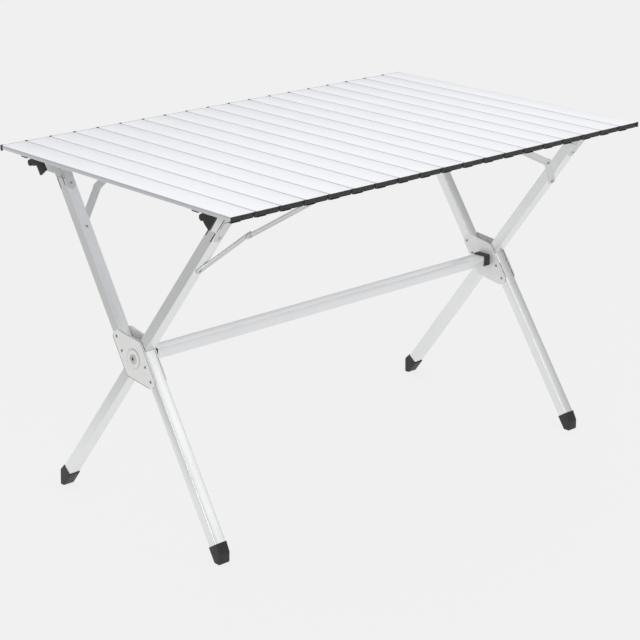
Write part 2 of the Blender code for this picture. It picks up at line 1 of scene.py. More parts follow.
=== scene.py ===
# %% [markdown]
# A roll-top camping table
#
# The table has a top of nineteen hollow aluminium slats, two X shaped leg frames of square tube, and
# black plastic ends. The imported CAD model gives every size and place. This file gives each piece its
# real surface: rounded edges, open tube ends, pressed plates, rivets and finishes.

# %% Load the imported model
import json
import math

import bmesh
import bpy
from mathutils import Matrix, Vector


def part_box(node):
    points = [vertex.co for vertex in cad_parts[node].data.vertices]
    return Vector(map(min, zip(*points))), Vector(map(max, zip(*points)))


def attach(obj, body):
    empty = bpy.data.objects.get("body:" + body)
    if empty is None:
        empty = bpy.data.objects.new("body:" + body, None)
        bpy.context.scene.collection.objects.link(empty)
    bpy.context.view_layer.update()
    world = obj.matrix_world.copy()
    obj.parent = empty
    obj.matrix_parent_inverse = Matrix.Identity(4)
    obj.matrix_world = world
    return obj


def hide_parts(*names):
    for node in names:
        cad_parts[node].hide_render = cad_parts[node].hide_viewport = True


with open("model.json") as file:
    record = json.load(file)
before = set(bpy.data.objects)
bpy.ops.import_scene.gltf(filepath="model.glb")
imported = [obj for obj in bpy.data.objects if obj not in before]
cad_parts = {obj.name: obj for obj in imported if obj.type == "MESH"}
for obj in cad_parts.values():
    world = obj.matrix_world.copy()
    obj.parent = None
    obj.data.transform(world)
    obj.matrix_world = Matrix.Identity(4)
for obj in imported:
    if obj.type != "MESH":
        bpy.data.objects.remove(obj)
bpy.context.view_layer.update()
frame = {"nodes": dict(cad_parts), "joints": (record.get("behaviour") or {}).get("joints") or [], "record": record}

# %% [markdown]
# Sizes that the pieces share
#
# The leg tubes stand in two slanting directions. A small class keeps both: along runs up the leg,
# across is square to it and points to the rear. A piece can then be modelled upright at the origin,
# where it is easy to picture, and turned into place once at the end.
#
# The two leg frames also lean towards each other by one and a half degrees. That lean is a shear: a
# piece moves inwards by 27 mm for each metre up. It comes last, so the shapes stay simple until then.

# %% Shared sizes and directions
MM = 0.001
AXIS_X, AXIS_Y, AXIS_Z = Vector((1, 0, 0)), Vector((0, 1, 0)), Vector((0, 0, 1))
PIVOT = Vector(next(joint for joint in frame["joints"] if joint["name"] == "scissor")["pos_m"])
SPLIT_LEAN = math.radians(33.75)
LONG_LEAN = math.radians(37.3)
SPLIT_OFFSET = 26.1 * MM
TUBE_X, TUBE_ACROSS, TUBE_WALL = 24 * MM, 23 * MM, 1.5 * MM
LEG_X = 490 * MM
SPLAY = 0.027
SLAB = 8 * MM
CAP_DEEP = 5.5 * MM
CAP_UNDER, TABLE_HIGH = (corner.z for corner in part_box("slat_01"))
SLAB_UNDER = TABLE_HIGH - SLAB
SLATS = sum(name.startswith("slat_") for name in frame["nodes"])
NODE_BODY = {node: body for body, nodes in frame["record"]["behaviour"]["bodies"].items() for node in nodes}


def axes_matrix(x_axis, y_axis, z_axis, place):
    matrix = Matrix((x_axis, y_axis, z_axis)).transposed().to_4x4()
    matrix.translation = place
    return matrix


class Leg:
    """The directions of one leg in the plane of its frame."""

    def __init__(self, lean, top_side):
        self.along = Vector((0, top_side * math.sin(lean), math.cos(lean)))
        self.across = Vector((0, math.cos(lean), -top_side * math.sin(lean)))

    def point(self, x, along, across):
        return PIVOT + AXIS_X * x + self.along * along + self.across * across

    def matrix(self, x, across):
        """Turns a piece modelled upright, with Z as the leg, into the leg's place."""
        return axes_matrix(AXIS_X, self.across, self.along, self.point(x, 0, across))

    def face_matrix(self, facing, place):
        """Z points out of the leg's rear face for a facing of 1, or out of its front face for -1."""
        return axes_matrix(AXIS_X * -facing, self.along, self.across * facing, place)

    def along_at_height(self, height, across):
        return (height - PIVOT.z - self.across.z * across) / self.along.z

    def along_at_y(self, y, across):
        return (y - self.across.y * across) / self.along.y


def along_x(x, y=0, z=0):
    """Turns a piece modelled flat in XY, with Z as its thickness, so that it lies in YZ at this place."""
    return axes_matrix(AXIS_Y, AXIS_Z, AXIS_X, Vector((x, y, z)))


def lean_inwards(side):
    """The shear of one end's pieces along X, about the pivot's height."""
    lean = Matrix.Identity(4)
    lean[0][2] = -side * SPLAY
    lean.translation = AXIS_X * side * SPLAY * PIVOT.z
    return lean


SPLIT_LEG = Leg(SPLIT_LEAN, 1)
LONG_LEG = Leg(LONG_LEAN, -1)
SIDES = ((-1, "left"), (1, "right"))
print("legs at x", round(LEG_X, 4), "slats", SLATS, "slab", round(SLAB_UNDER, 4), round(TABLE_HIGH, 4))

# %% [markdown]
# Colours and nodes
#
# A colour picked from a photograph is an sRGB value, but Blender's shaders work with linear light, so
# one function turns a hex code into linear numbers. A second one adds a shader node with its settings
# and its inputs in one call, where an input is either a plain value or another node's output.
#
# Every finish on the table has a colour that drifts a little between two close tones, a fine grain and
# a roughness that a noise varies, so two functions make those parts. What differs comes after.

# %% Colour and node helpers
def linear(hex_code):
    """An sRGB hex code such as D8D9DA as linear red, green, blue and alpha."""
    values = [int(hex_code[place:place + 2], 16) / 255 for place in (0, 2, 4)]
    light = [value / 12.92 if value <= 0.04045 else ((value + 0.055) / 1.055) ** 2.4 for value in values]
    return (*light, 1.0)


def add(tree, kind, inputs=None, **settings):
    """Add a node: settings are its own properties, inputs are values or the outputs that feed it."""
    made = tree.nodes.new(kind)
    for name, value in settings.items():
        setattr(made, name, value)
    for name, value in (inputs or {}).items():
        if isinstance(value, bpy.types.NodeSocket):
            tree.links.new(value, made.inputs[name])
        else:
            made.inputs[name].default_value = value
    return made


def new_finish(name, light, dark, metallic, cloud_scale, grain_size, detail):
    """A material with two close tones. Returns it with its tree, shader, coordinates and grain."""
    material = bpy.data.materials.new(name)
    material.use_nodes = True
    tree = material.node_tree
    shader = tree.nodes["Principled BSDF"]
    shader.inputs["Metallic"].default_value = metallic
    place = add(tree, "ShaderNodeTexCoord").outputs["Object"]
    grain = add(tree, "ShaderNodeTexNoise", {"Vector": place, "Scale": 0.5 / grain_size, "Detail": detail})
    cloud = add(tree, "ShaderNodeTexNoise", {"Vector": place, "Scale": cloud_scale, "Detail": detail})
    tone = add(tree, "ShaderNodeMix", {
        "Factor": cloud.outputs["Fac"], "A": linear(dark), "B": linear(light),
    }, data_type="RGBA")
    tree.links.new(tone.outputs["Result"], shader.inputs["Base Color"])
    return material, tree, shader, place, grain.outputs["Fac"]


def vary_roughness(tree, shader, noise, lowest, highest):
    rough = add(tree, "ShaderNodeMapRange", {
        "Value": noise, "From Min": 0.3, "From Max": 0.7, "To Min": lowest, "To Max": highest,
    })
    tree.links.new(rough.outputs["Result"], shader.inputs["Roughness"])


print("half of sRGB is", round(linear("808080")[0], 3), "in linear light")

# %% [markdown]
# Anodised aluminium
#
# The slats and tubes are extruded, etched matt and then anodised. Etching leaves a fine even grain,
# and extruding leaves faint lines along the length of each profile. A noise texture that is stretched
# along the profile gives the lines, and a much finer one gives the grain. Both only touch roughness
# and bump a little, because a clean anodised surface has almost no change of colour.
#
# The real lines and grain are finer than a pixel, so both are drawn as coarse as they need to show.

# %% Anodised aluminium
LINE_SPACING = 0.8 * MM
LINE_STRETCH = 60
GRAIN_SIZE = 0.35 * MM
ALUMINIUM_CLOUDS = 9.0  # noise scale: patches some 55 mm wide


def anodised(name, light, dark, roughness, lines_along, line_depth):
    """Matt anodised aluminium. lines_along is the turn that brings the extrusion lines onto Z."""
    material, tree, shader, place, grain = new_finish(
        name, light, dark, 1.0, ALUMINIUM_CLOUDS, GRAIN_SIZE, 2.0)
    turned = add(tree, "ShaderNodeMapping", {"Vector": place, "Rotation": lines_along})
    squeezed = add(tree, "ShaderNodeMapping", {
        "Vector": turned.outputs["Vector"], "Scale": (1, 1, 1 / LINE_STRETCH),
    })
    lines = add(tree, "ShaderNodeTexNoise", {
        "Vector": squeezed.outputs["Vector"], "Scale": 0.5 / LINE_SPACING, "Detail": 3.0,
    }).outputs["Fac"]
    vary_roughness(tree, shader, lines, roughness - 0.03, roughness + 0.05)
    grain_bump = add(tree, "ShaderNodeBump", {"Height": grain, "Strength": 0.10, "Distance": 0.05 * MM})
    line_bump = add(tree, "ShaderNodeBump", {
        "Height": lines, "Strength": 0.15, "Distance": line_depth, "Normal": grain_bump.outputs["Normal"],
    })
    tree.links.new(line_bump.outputs["Normal"], shader.inputs["Normal"])
    return material


ALONG_Y = (math.radians(90), 0.0, 0.0)
ALONG_X = (0.0, math.radians(90), 0.0)

# The slats: nearly white, with a wide soft shine. Each rounded upper edge lies in its neighbour's shade,
# which is painted: a greyer copy of the slat aluminium draws a thin grey line at the seam.
TOP_METAL = anodised("anodised_slat_aluminium", "F1F2F5", "EDEEF2", 0.40, ALONG_Y, 0.04 * MM)
SEAM_SHADE_METAL = anodised("painted_seam_shade_aluminium", "CCCED2", "C6C8CC", 0.42, ALONG_Y, 0.04 * MM)
# The tubes: a little glossier, so that each flat side mirrors the room as one even tone.
STRETCHER_METAL = anodised("anodised_tube_along_the_table", "F2F3F4", "ECEDEE", 0.36, ALONG_X, 0.05 * MM)
SPLIT_METAL = anodised("anodised_split_leg_tube", "F3F4F4", "ECEDED", 0.34, (SPLIT_LEAN, 0.0, 0.0), 0.05 * MM)
LONG_METAL = anodised("anodised_long_leg_tube", "F3F4F4", "ECEDED", 0.34, (-LONG_LEAN, 0.0, 0.0), 0.05 * MM)
print("extrusion lines every", round(LINE_SPACING / MM, 2), "mm, grain", round(GRAIN_SIZE / MM, 2), "mm")

# %% [markdown]
# Pressed sheet, rivets and black plastic
#
# The stays and brackets are stamped from sheet and tumbled, so they are duller and have no lines. The
# hinge plates have a clear satin coat, which scatters the light and keeps them pale from every side.
# Rivets and bolts are zinc plated steel. The feet, caps, collars and latches are injection moulded
# nylon: near black, with a spark-eroded grain. One even grain, set to each finish's own size and
# depth, serves them all. It too is drawn coarser than the real one.

# %% Sheet, steel and plastic
SMALL_CLOUDS = 30.0  # noise scale: patches some 17 mm wide


def stamped(name, light, dark, roughness, grain_size, depth, metallic=1.0):
    """A surface with an even grain: tumbled sheet metal, plated steel or moulded plastic."""
    material, tree, shader, _, grain = new_finish(
        name, light, dark, metallic, SMALL_CLOUDS, grain_size, 3.0)
    vary_roughness(tree, shader, grain, roughness - 0.05, roughness + 0.06)
    bump = add(tree, "ShaderNodeBump", {"Height": grain, "Strength": 0.25, "Distance": depth})
    tree.links.new(bump.outputs["Normal"], shader.inputs["Normal"])
    return material


# Stays and blocks: a dull light grey. Plates: nearly white. Painted shade: a thin grey outline for the
# shadow along a plate's sides and a lip's front rim.
SHEET_METAL = stamped("tumbled_aluminium_sheet", "DEDFDE", "D6D7D6", 0.40, 0.5 * MM, 0.06 * MM)
PLATE_METAL = stamped("satin_stamped_plate", "F4F4F3", "ECECEB", 0.50, 0.5 * MM, 0.06 * MM, metallic=0.4)
EDGE_SHADE_METAL = stamped("painted_edge_shade", "7A7A78", "666664", 0.45, 0.4 * MM, 0.03 * MM)
# Rivet flanges and bolt heads: a sharper, greyer shine round a mid grey core. The hinge plates' rivets
# and the bolts have a dark core instead, painted shade down the rivet's hole and the bolt's socket.
STEEL = stamped("zinc_plated_steel", "D4D4D2", "CBCBC9", 0.34, 0.5 * MM, 0.03 * MM)
HOLE_SHADE_STEEL = stamped("painted_hole_shade_steel", "3A3A3A", "2A2A2A", 0.45, 0.4 * MM, 0.03 * MM)
BRIGHT_CORE = stamped("bright_rivet_core", "A0A09E", "8C8C8A", 0.35, 0.4 * MM, 0.03 * MM)
# Feet, caps and collars: soft near black. The latches come from a polished mould and look darker.
BLACK_NYLON = stamped("moulded_black_nylon", "2E2E30", "262628", 0.50, 0.6 * MM, 0.08 * MM, metallic=0.0)
LATCH_NYLON = stamped("polished_black_nylon", "1B1B1D", "151517", 0.36, 0.6 * MM, 0.05 * MM, metallic=0.0)
print("finishes", [material.name for material in (TOP_METAL, SHEET_METAL, PLATE_METAL, STEEL, BLACK_NYLON)])

# %% [markdown]
# Mesh helpers
#
# Each piece starts as a simple bmesh shape. The helpers below wrap the operators that are used again
# and again: a box, a bevel, a wall, an opening and a turned (lathe) shape. The last two make the
# object: its place is already in the mesh, so the object itself stays at the origin.

# %% Boxes and bevels
BEVEL_STEPS = 3


def box_shape(low, high):
    shape = bmesh.new()
    bmesh.ops.create_cube(shape, size=1)
    size = Vector(high) - Vector(low)
    bmesh.ops.scale(shape, vec=size, verts=shape.verts)
    bmesh.ops.translate(shape, vec=(Vector(low) + Vector(high)) / 2, verts=shape.verts)
    return shape


def bevel(shape, edges, radius, steps=BEVEL_STEPS):
    bmesh.ops.bevel(shape, geom=edges, offset=radius, segments=steps, profile=0.5, affect="EDGES",
                    material=-1, clamp_overlap=True)


def edges_along(shape, axis):
    """The straight edges that run along one of the three axes."""
    found = []
    for edge in shape.edges:
        way = (edge.verts[1].co - edge.verts[0].co).normalized()
        if abs(way.dot(axis)) > 0.999:
            found.append(edge)
    return found


def sharp_edges(shape, degrees=30):
    return [edge for edge in shape.edges
            if len(edge.link_faces) == 2 and edge.calc_face_angle() > math.radians(degrees)]


def rounded_box(low, high, radius):
    shape = box_shape(low, high)
    bevel(shape, shape.edges[:], radius, 2)
    return shape

# %% Tubes, cuts and walls
MERGE = 0.000001
WALL_MERGE = 0.000002


def open_ends(shape):
    """Take out the two end faces of a profile that stands on Z."""
    ends = [face for face in shape.faces if abs(face.normal.z) > 0.9]
    bmesh.ops.delete(shape, geom=ends, context="FACES")


def tube_shell(width, depth, low, high, corner):
    """The outside of a rectangular tube standing on Z, open at both ends. A corner of 0 stays sharp."""
    shape = box_shape((-width / 2, -depth / 2, low), (width / 2, depth / 2, high))
    open_ends(shape)
    if corner:
        bevel(shape, edges_along(shape, AXIS_Z), corner)
    return shape


def cut_plane(shape, place, outward, clear):
    """Cut the faces along a plane, and clear everything on its outward side if asked."""
    everything = [*shape.verts, *shape.edges, *shape.faces]
    bmesh.ops.bisect_plane(shape, geom=everything, dist=MERGE, plane_co=place, plane_no=outward,
                           clear_outer=clear)


def open_window(shape, low, high):
    """Cut an opening into a shell: the faces inside a box are taken out."""
    for index, axis in enumerate((AXIS_X, AXIS_Y, AXIS_Z)):
        for value in (low[index], high[index]):
            cut_plane(shape, axis * value, axis, False)
    inside = []
    for face in shape.faces:
        middle = face.calc_center_median()
        if all(low[index] < middle[index] < high[index] for index in range(3)):
            inside.append(face)
    bmesh.ops.delete(shape, geom=inside, context="FACES")


def give_wall(shape, wall):
    """Turn a shell into a wall that grows inwards."""
    bmesh.ops.solidify(shape, geom=shape.faces[:], thickness=wall)
    bmesh.ops.remove_doubles(shape, verts=shape.verts, dist=WALL_MERGE)

# %% Prisms, turned shapes and paint
TURN_STEPS = 40


def pull_face(shape, face, offset):
    """Extrude a face by an offset. The old face stays where it was."""
    pulled = bmesh.ops.extrude_face_region(shape, geom=[face])["geom"]
    moved = [item for item in pulled if isinstance(item, bmesh.types.BMVert)]
    bmesh.ops.translate(shape, vec=offset, verts=moved)


def prism(outline, thick):
    """A flat outline in XY, made thick evenly to both sides of Z."""
    shape = bmesh.new()
    face = shape.faces.new([shape.verts.new((u, v, -thick / 2)) for u, v in outline])
    pull_face(shape, face, (0, 0, thick))
    bmesh.ops.recalc_face_normals(shape, faces=shape.faces[:])
    return shape


def turn(profile, steps=TURN_STEPS):
    """Spin a profile of (radius, height) points round Z into a closed turned piece."""
    shape = bmesh.new()
    points = [shape.verts.new((radius, 0, height)) for radius, height in profile]
    edges = [shape.edges.new(pair) for pair in zip(points, points[1:])]
    bmesh.ops.spin(shape, geom=[*points, *edges], cent=(0, 0, 0), axis=(0, 0, 1),
                   angle=2 * math.pi, steps=steps, use_merge=True)
    bmesh.ops.remove_doubles(shape, verts=shape.verts, dist=MERGE)
    bmesh.ops.recalc_face_normals(shape, faces=shape.faces[:])
    return shape


def put(shape, matrix):
    bmesh.ops.transform(shape, matrix=matrix, verts=shape.verts)
    return shape


def gather(*shapes):
    """Several closed shapes as one, in the order given; each keeps its own material number."""
    whole = bmesh.new()
    for shape in shapes:
        mesh = bpy.data.meshes.new("part")
        shape.to_mesh(mesh)
        shape.free()
        whole.from_mesh(mesh)
        bpy.data.meshes.remove(mesh)
    return whole


def paint(shape, number):
    for face in shape.faces:
        face.material_index = number
    return shape

# %% Finished objects
def new_object(name, data):
    made = bpy.data.objects.new(name, data)
    bpy.context.scene.collection.objects.link(made)
    return made


def mesh_object(name, shape, materials):
    mesh = bpy.data.meshes.new(name)
    shape.to_mesh(mesh)
    shape.free()
    for material in materials:
        mesh.materials.append(material)
    return new_object(name, mesh)


def finish_piece(name, shape, materials, stands_for=(), body=None, smooth=40, side=0):
    """Make the object, give it its finish and let it ride on its body. A side's piece leans inwards."""
    if side:
        put(shape, lean_inwards(side))
    piece = mesh_object(name, shape, materials)
    piece.data.shade_smooth()
    piece.data.set_sharp_from_angle(angle=math.radians(smooth))
    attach(piece, body or NODE_BODY[stands_for[0]])
    if stands_for:
        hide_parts(*stands_for)
    return piece


# %% [markdown]
# The slats
#
# Each slat is a flat hollow extrusion. Its upper long edges are rounded, and the rounding is painted a
# darker grey as the shade between two slats side by side, which draws the narrow grey groove between
# them. Below, a small chamfer along each edge leaves room to roll. The open ends are closed by black caps
# that are 3 mm deeper than the slat.

# %% One slat
CAP_FACE, REAR_CAP_FACE = 0.9 * MM, 1.9 * MM
SLAT_EDGE, SLAT_EDGE_STEPS = 2.0 * MM, 5
SLAT_WALL = 0.9 * MM
SLAT_RELIEF = 0.9 * MM
SEAM_SHADE = 1


def slat_shape(width, front, rear):
    """A slat standing on Z, its upper face towards -Y. The rounded upper edges are painted with the seam's shade.
    """
    shell = tube_shell(width, SLAB, front, rear, 0)
    upper = [edge for edge in edges_along(shell, AXIS_Z) if edge.verts[0].co.y < 0]
    bevel(shell, upper, SLAT_EDGE, SLAT_EDGE_STEPS)
    lower = [edge for edge in edges_along(shell, AXIS_Z) if edge.verts[0].co.y > SLAB / 2 - 0.01 * MM]
    bevel(shell, lower, SLAT_RELIEF, 1)
    # The upper rounded edges take the painted shade of the seam between two slats.
    for face in shell.faces:
        slanting = min(abs(face.normal.x), abs(face.normal.y)) > 0.1
        face.material_index = SEAM_SHADE if slanting and face.calc_center_median().y < 0 else 0
    give_wall(shell, SLAT_WALL)
    return shell

# %% Make the slats
for index in range(1, SLATS + 1):
    node = f"slat_{index:02d}"
    low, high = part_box(node)
    slat = slat_shape(high.x - low.x, low.y + CAP_FACE, high.y - REAR_CAP_FACE)
    middle = Vector(((low.x + high.x) / 2, 0, TABLE_HIGH - SLAB / 2))
    put(slat, axes_matrix(AXIS_X, -AXIS_Z, AXIS_Y, middle))
    finish_piece(f"{node}_extrusion", slat, [TOP_METAL, SEAM_SHADE_METAL], [node])
print("slat", round((high.x - low.x) / MM, 2), "mm wide")

# %% [markdown]
# The end caps
#
# A cap plugs each end of a slat. Seen from the front it has two blocks with a joint between them, and
# a small knuckle at its right, where it rolls on the next cap. Each block's lower right corner is
# rounder than the others, which gives the row of caps its saw-tooth lower edge. The cap at the far
# end is the same moulding turned by half a turn, so its knuckle is at the other side.

# %% A cap's sizes and blocks
CAP_JOINT = 0.42
CAP_GAP = 0.6 * MM
CAP_EDGE = 0.45 * MM
CAP_HEEL, CAP_HEEL_STEPS = 3.0 * MM, 5
CAP_LOWER_STEP = 1.2 * MM
CAP_OVERLAP, CAP_CLEARANCE = 0.05 * MM, 0.1 * MM
KNUCKLE_WIDE, KNUCKLE_OUT, KNUCKLE_UP, KNUCKLE_ROUND = 5.6 * MM, 1.6 * MM, 0.8 * MM, 0.8 * MM
CHEEK_IN, CHEEK_OUT, CHEEK_BELOW = 0.5 * MM, 0.4 * MM, 0.4 * MM
PLUG_DEEP, PLUG_FIT, PLUG_ROUND = 12 * MM, 0.2 * MM, 0.3 * MM


def cap_block(low, high):
    """One block of a cap, with its lower right corner rounded like a heel."""
    block = box_shape(low, high)
    heel = [edge for edge in edges_along(block, AXIS_Y)
            if edge.verts[0].co.x > (low[0] + high[0]) / 2 and edge.verts[0].co.z < (low[2] + high[2]) / 2]
    bevel(block, heel, CAP_HEEL, CAP_HEEL_STEPS)
    bevel(block, sharp_edges(block, 60), CAP_EDGE, 2)
    return block

# %% A whole cap
def cap_shape(low, high, cap_face, outer_side=0):
    """The front cap of the slat whose box this is, with its face towards -Y.

    The blocks lie under the slat's end, a thin face closes it and a knuckle stands at its right. The
    two end slats' rear caps also wrap round the table's outer side.
    """
    face, back = low.y, low.y + CAP_DEEP
    joint = low.x + (high.x - low.x) * CAP_JOINT
    knuckle = high.x - KNUCKLE_WIDE
    step = CAP_UNDER + CAP_LOWER_STEP
    slat_end = face + cap_face - CAP_OVERLAP
    under_slat = SLAB_UNDER - CAP_CLEARANCE
    parts = [
        cap_block((low.x + CAP_GAP, face, CAP_UNDER), (joint - CAP_GAP / 2, slat_end, TABLE_HIGH)),
        cap_block((joint + CAP_GAP / 2, face, step), (knuckle - CAP_GAP / 2, slat_end, TABLE_HIGH)),
        rounded_box((low.x + CAP_GAP, face, CAP_UNDER), (joint - CAP_HEEL, back, under_slat), CAP_EDGE),
        rounded_box((joint + CAP_GAP, face, step), (knuckle - CAP_HEEL, back, under_slat), CAP_EDGE),
        rounded_box((knuckle + CAP_GAP / 2, face - KNUCKLE_OUT, step),
                    (high.x + CAP_GAP, slat_end, TABLE_HIGH + KNUCKLE_UP), KNUCKLE_ROUND),
    ]
    if outer_side:
        outer_x = high.x if outer_side > 0 else low.x
        x_low, x_high = sorted((outer_x - outer_side * CHEEK_IN, outer_x + outer_side * CHEEK_OUT))
        cheek_top = TABLE_HIGH - CHEEK_BELOW
        parts.append(rounded_box((x_low, face, CAP_UNDER), (x_high, back, cheek_top), PLUG_ROUND))
    inset = SLAT_WALL + PLUG_FIT
    plug_low = (low.x + SLAT_RELIEF + inset, slat_end - CAP_EDGE, SLAB_UNDER + inset)
    plug_high = (high.x - SLAT_RELIEF - inset, back + PLUG_DEEP, TABLE_HIGH - inset)
    return gather(*parts, rounded_box(plug_low, plug_high, PLUG_ROUND))

# %% Make the caps
for index in range(1, SLATS + 1):
    node = f"slat_{index:02d}"
    low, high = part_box(node)
    for word in ("front", "rear"):
        outer_side = {1: 1, SLATS: -1}.get(index, 0) if word == "rear" else 0
        cap = cap_shape(low, high, REAR_CAP_FACE if word == "rear" else CAP_FACE, outer_side)
        if word == "rear":
            middle = Vector(((low.x + high.x) / 2, 0, 0))
            half_turn = Matrix.Rotation(math.pi, 4, "Z")
            put(cap, Matrix.Translation(middle) @ half_turn @ Matrix.Translation(-middle))
        finish_piece(f"end_cap_{word}_{index:02d}", cap, [BLACK_NYLON], body=NODE_BODY[node])
print("caps", 2 * SLATS, "with a joint at", CAP_JOINT, "of the slat")

# %% [markdown]
# The leg tubes
#
# A leg tube is an extrusion with small round corners. Its upper end is cut level, and two narrow slots
# run down its outer face, one beside each corner. The split legs' inner ends are cut at a slant, along
# the side of the long leg that passes them. The shell is cut first, while it is still a single skin,
# and gets its wall last, so that every opening shows the tube's thickness.

# %% Slots and slits in a tube
TUBE_CORNER = 1.6 * MM
TUBE_TOP = 0.45  # beyond the level cut
SLOT_LONG, SLOT_WIDE, SLOT_INSET = 23 * MM, 2.3 * MM, 2.2 * MM
SLOT_LOW = {LONG_LEG: 0.357, SPLIT_LEG: 0.368}
BRACKET_UNDER = 0.648
FOOT_END = 0.394
SPLIT_OVERRUN = 5 * MM
SLIT_LOW, SLIT_HIGH, SLIT_WIDE = -0.058, -0.024, 1.3 * MM
NOTCH_GAP = 0.3 * MM


def slot_ends(y_side):
    """Where a slot lies across the leg, at one side of its outer face."""
    outer = TUBE_ACROSS / 2 - SLOT_INSET
    return sorted((y_side * outer, y_side * (outer - SLOT_WIDE)))


def cut_slots(shell, leg, side):
    """Cut the two slots into the outer face at a leg's upper end."""
    start = SLOT_LOW[leg]
    x_low, x_high = sorted((side * (TUBE_X / 2 + MM), side * (TUBE_X / 2 - MM)))
    for y_side in (-1, 1):
        y_low, y_high = slot_ends(y_side)
        open_window(shell, (x_low, y_low, start), (x_high, y_high, start + SLOT_LONG))


def slit_corner(shell, side):
    """The slit in a lower split tube's inner front corner, beside the hinge plate."""
    x_low, x_high = sorted((-side * (TUBE_X / 2 + MM), -side * (TUBE_X / 2 - SLIT_WIDE)))
    front = -TUBE_ACROSS / 2
    open_window(shell, (x_low, front - MM, SLIT_LOW), (x_high, front + SLIT_WIDE, SLIT_HIGH))

# %% One leg tube
def leg_tube(name, leg, side, low, high, across, metal, end_cut=None):
    """A leg tube. One that reaches the top is cut level there; end_cut is the slant of a split tube's end."""
    shell = tube_shell(TUBE_X, TUBE_ACROSS, low, high, TUBE_CORNER)
    if high > SLOT_LOW[leg]:
        upward = Vector((0, leg.across.z, leg.along.z))
        height = BRACKET_UNDER - NOTCH_GAP - PIVOT.z - leg.across.z * across
        cut_plane(shell, upward * height, upward, True)
        cut_slots(shell, leg, side)
    if end_cut:
        cut_plane(shell, end_cut * (-TUBE_ACROSS / 2 - NOTCH_GAP - end_cut.y * across), end_cut, True)
    if low < SLIT_LOW and end_cut:
        slit_corner(shell, side)
    give_wall(shell, TUBE_WALL)
    put(shell, leg.matrix(side * LEG_X, across))
    finish_piece(f"{name}_extrusion", shell, [metal], [name], side=side)

# %% Make the leg tubes
LONG_SIDE = Vector((0, LONG_LEG.across.dot(SPLIT_LEG.across), LONG_LEG.across.dot(SPLIT_LEG.along)))
for side, word in SIDES:
    leg_tube(f"split_leg_upper_{word}", SPLIT_LEG, side, -SPLIT_OVERRUN, TUBE_TOP, SPLIT_OFFSET,
             SPLIT_METAL, -LONG_SIDE)
    leg_tube(f"split_leg_lower_{word}", SPLIT_LEG, side, -FOOT_END, SPLIT_OVERRUN, -SPLIT_OFFSET,
             SPLIT_METAL, LONG_SIDE)
    leg_tube(f"long_leg_{word}", LONG_LEG, side, -FOOT_END, TUBE_TOP, 0, LONG_METAL)
print("leg tubes", round(TUBE_X / MM), "by", round(TUBE_ACROSS / MM), "mm, wall", round(TUBE_WALL / MM, 1))

# %% [markdown]
# The rails
#
# Two rails under the top join the leg frames, and the slats rest on them. They are slanting
# extrusions: their sides follow the legs, while their upper face is level. A slice through the leg
# gives that section, so the same helper serves the brackets, which carry on the leg's own outline.

# %% Rails
RAIL_UNDER = 0.667
RAIL_WALL, RAIL_CORNER = 1.5 * MM, 1.5 * MM
RAIL_TOP = SLAB_UNDER - 0.3 * MM


def leg_slice(leg, across, low, high, half_width=TUBE_ACROSS / 2):
    """The corners, in YZ, of a level slice through a leg."""
    corners = []
    for height, sides in ((low, (-1, 1)), (high, (1, -1))):
        for sign in sides:
            offset = across + sign * half_width
            point = leg.point(0, leg.along_at_height(height, offset), offset)
            corners.append((point.y, point.z))
    return corners


for name, leg, across in (("rail_rear", SPLIT_LEG, SPLIT_OFFSET), ("rail_front", LONG_LEG, 0)):
    low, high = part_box(name)
    rail = prism(leg_slice(leg, across, RAIL_UNDER, RAIL_TOP), high.x - low.x)
    open_ends(rail)
    bevel(rail, edges_along(rail, AXIS_Z), RAIL_CORNER)
    give_wall(rail, RAIL_WALL)
    put(rail, along_x(0))
    finish_piece(f"{name}_extrusion", rail, [STRETCHER_METAL], [name])
print("rails", round((high.x - low.x) / MM), "mm long")

# %% [markdown]
# The stretcher and its collars
#
# One rectangular tube joins the two hinges at the pivots' height, and a moulded black collar closes
# the gap at each end. All three are rectangular tubes that lie along X, so one loop makes them from
# the CAD boxes. Only their corners, walls and finishes differ.

# %% Stretcher and its collars
COLLAR_RIM = 0.4 * MM
lying_tubes = [("stretcher", "stretcher_extrusion", 1.5 * MM, TUBE_WALL, STRETCHER_METAL, "frame_aluminium")]
for _, word in SIDES:
    lying_tubes.append((f"stretcher_collar_{word}", f"moulded_collar_{word}", 2.2 * MM, 1.8 * MM,
                        BLACK_NYLON, "black_plastic"))
for node, name, corner, wall, finish, slot in lying_tubes:
    low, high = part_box(node)
    print(node, [round(value / MM, 1) for value in (*low, *high)])
    tube = tube_shell(high.y - low.y, high.z - low.z, low.x, high.x, corner)
    give_wall(tube, wall)
    if finish == BLACK_NYLON:
        bevel(tube, sharp_edges(tube, 60), COLLAR_RIM, 2)
    put(tube, along_x(0, (low.y + high.y) / 2, (low.z + high.z) / 2))
    finish_piece(name, tube, [finish], [node])

# %% [markdown]
# Feet
#
# Each foot is a moulded sleeve that the tube stands in. Its sides follow the leg, its toe is upright
# and its sole is level. The socket is made by insetting the upper face and pushing it down.

# %% One foot
FOOT_SIZE = 26.5 * MM
FRONT_RIM, REAR_RIM = 0.386, 0.3795
FRONT_TOE_Y, REAR_TOE_Y = -0.260, 0.250
FOOT_ROUND, FOOT_ROUND_STEPS = 2.2 * MM, 4
RIM_WALL, RIM_CHAMFER = 1.0 * MM, 0.3 * MM
SOCKET_DEEP = 7 * MM
TOUCH = 0.1 * MM


def is_outer_edge(edge, leg, outer, inner):
    """True for an edge on the foot's outside, not one down in its socket."""
    for vert in edge.verts:
        place = Vector((0, vert.co.x, vert.co.y)) - Vector((0, PIVOT.y, PIVOT.z))
        across = place.dot(leg.across)
        on_side = min(abs(across - outer), abs(across - inner)) < TOUCH
        on_end = abs(abs(vert.co.z) - FOOT_SIZE / 2) < TOUCH
        if not (on_side or on_end):
            return False
    return True


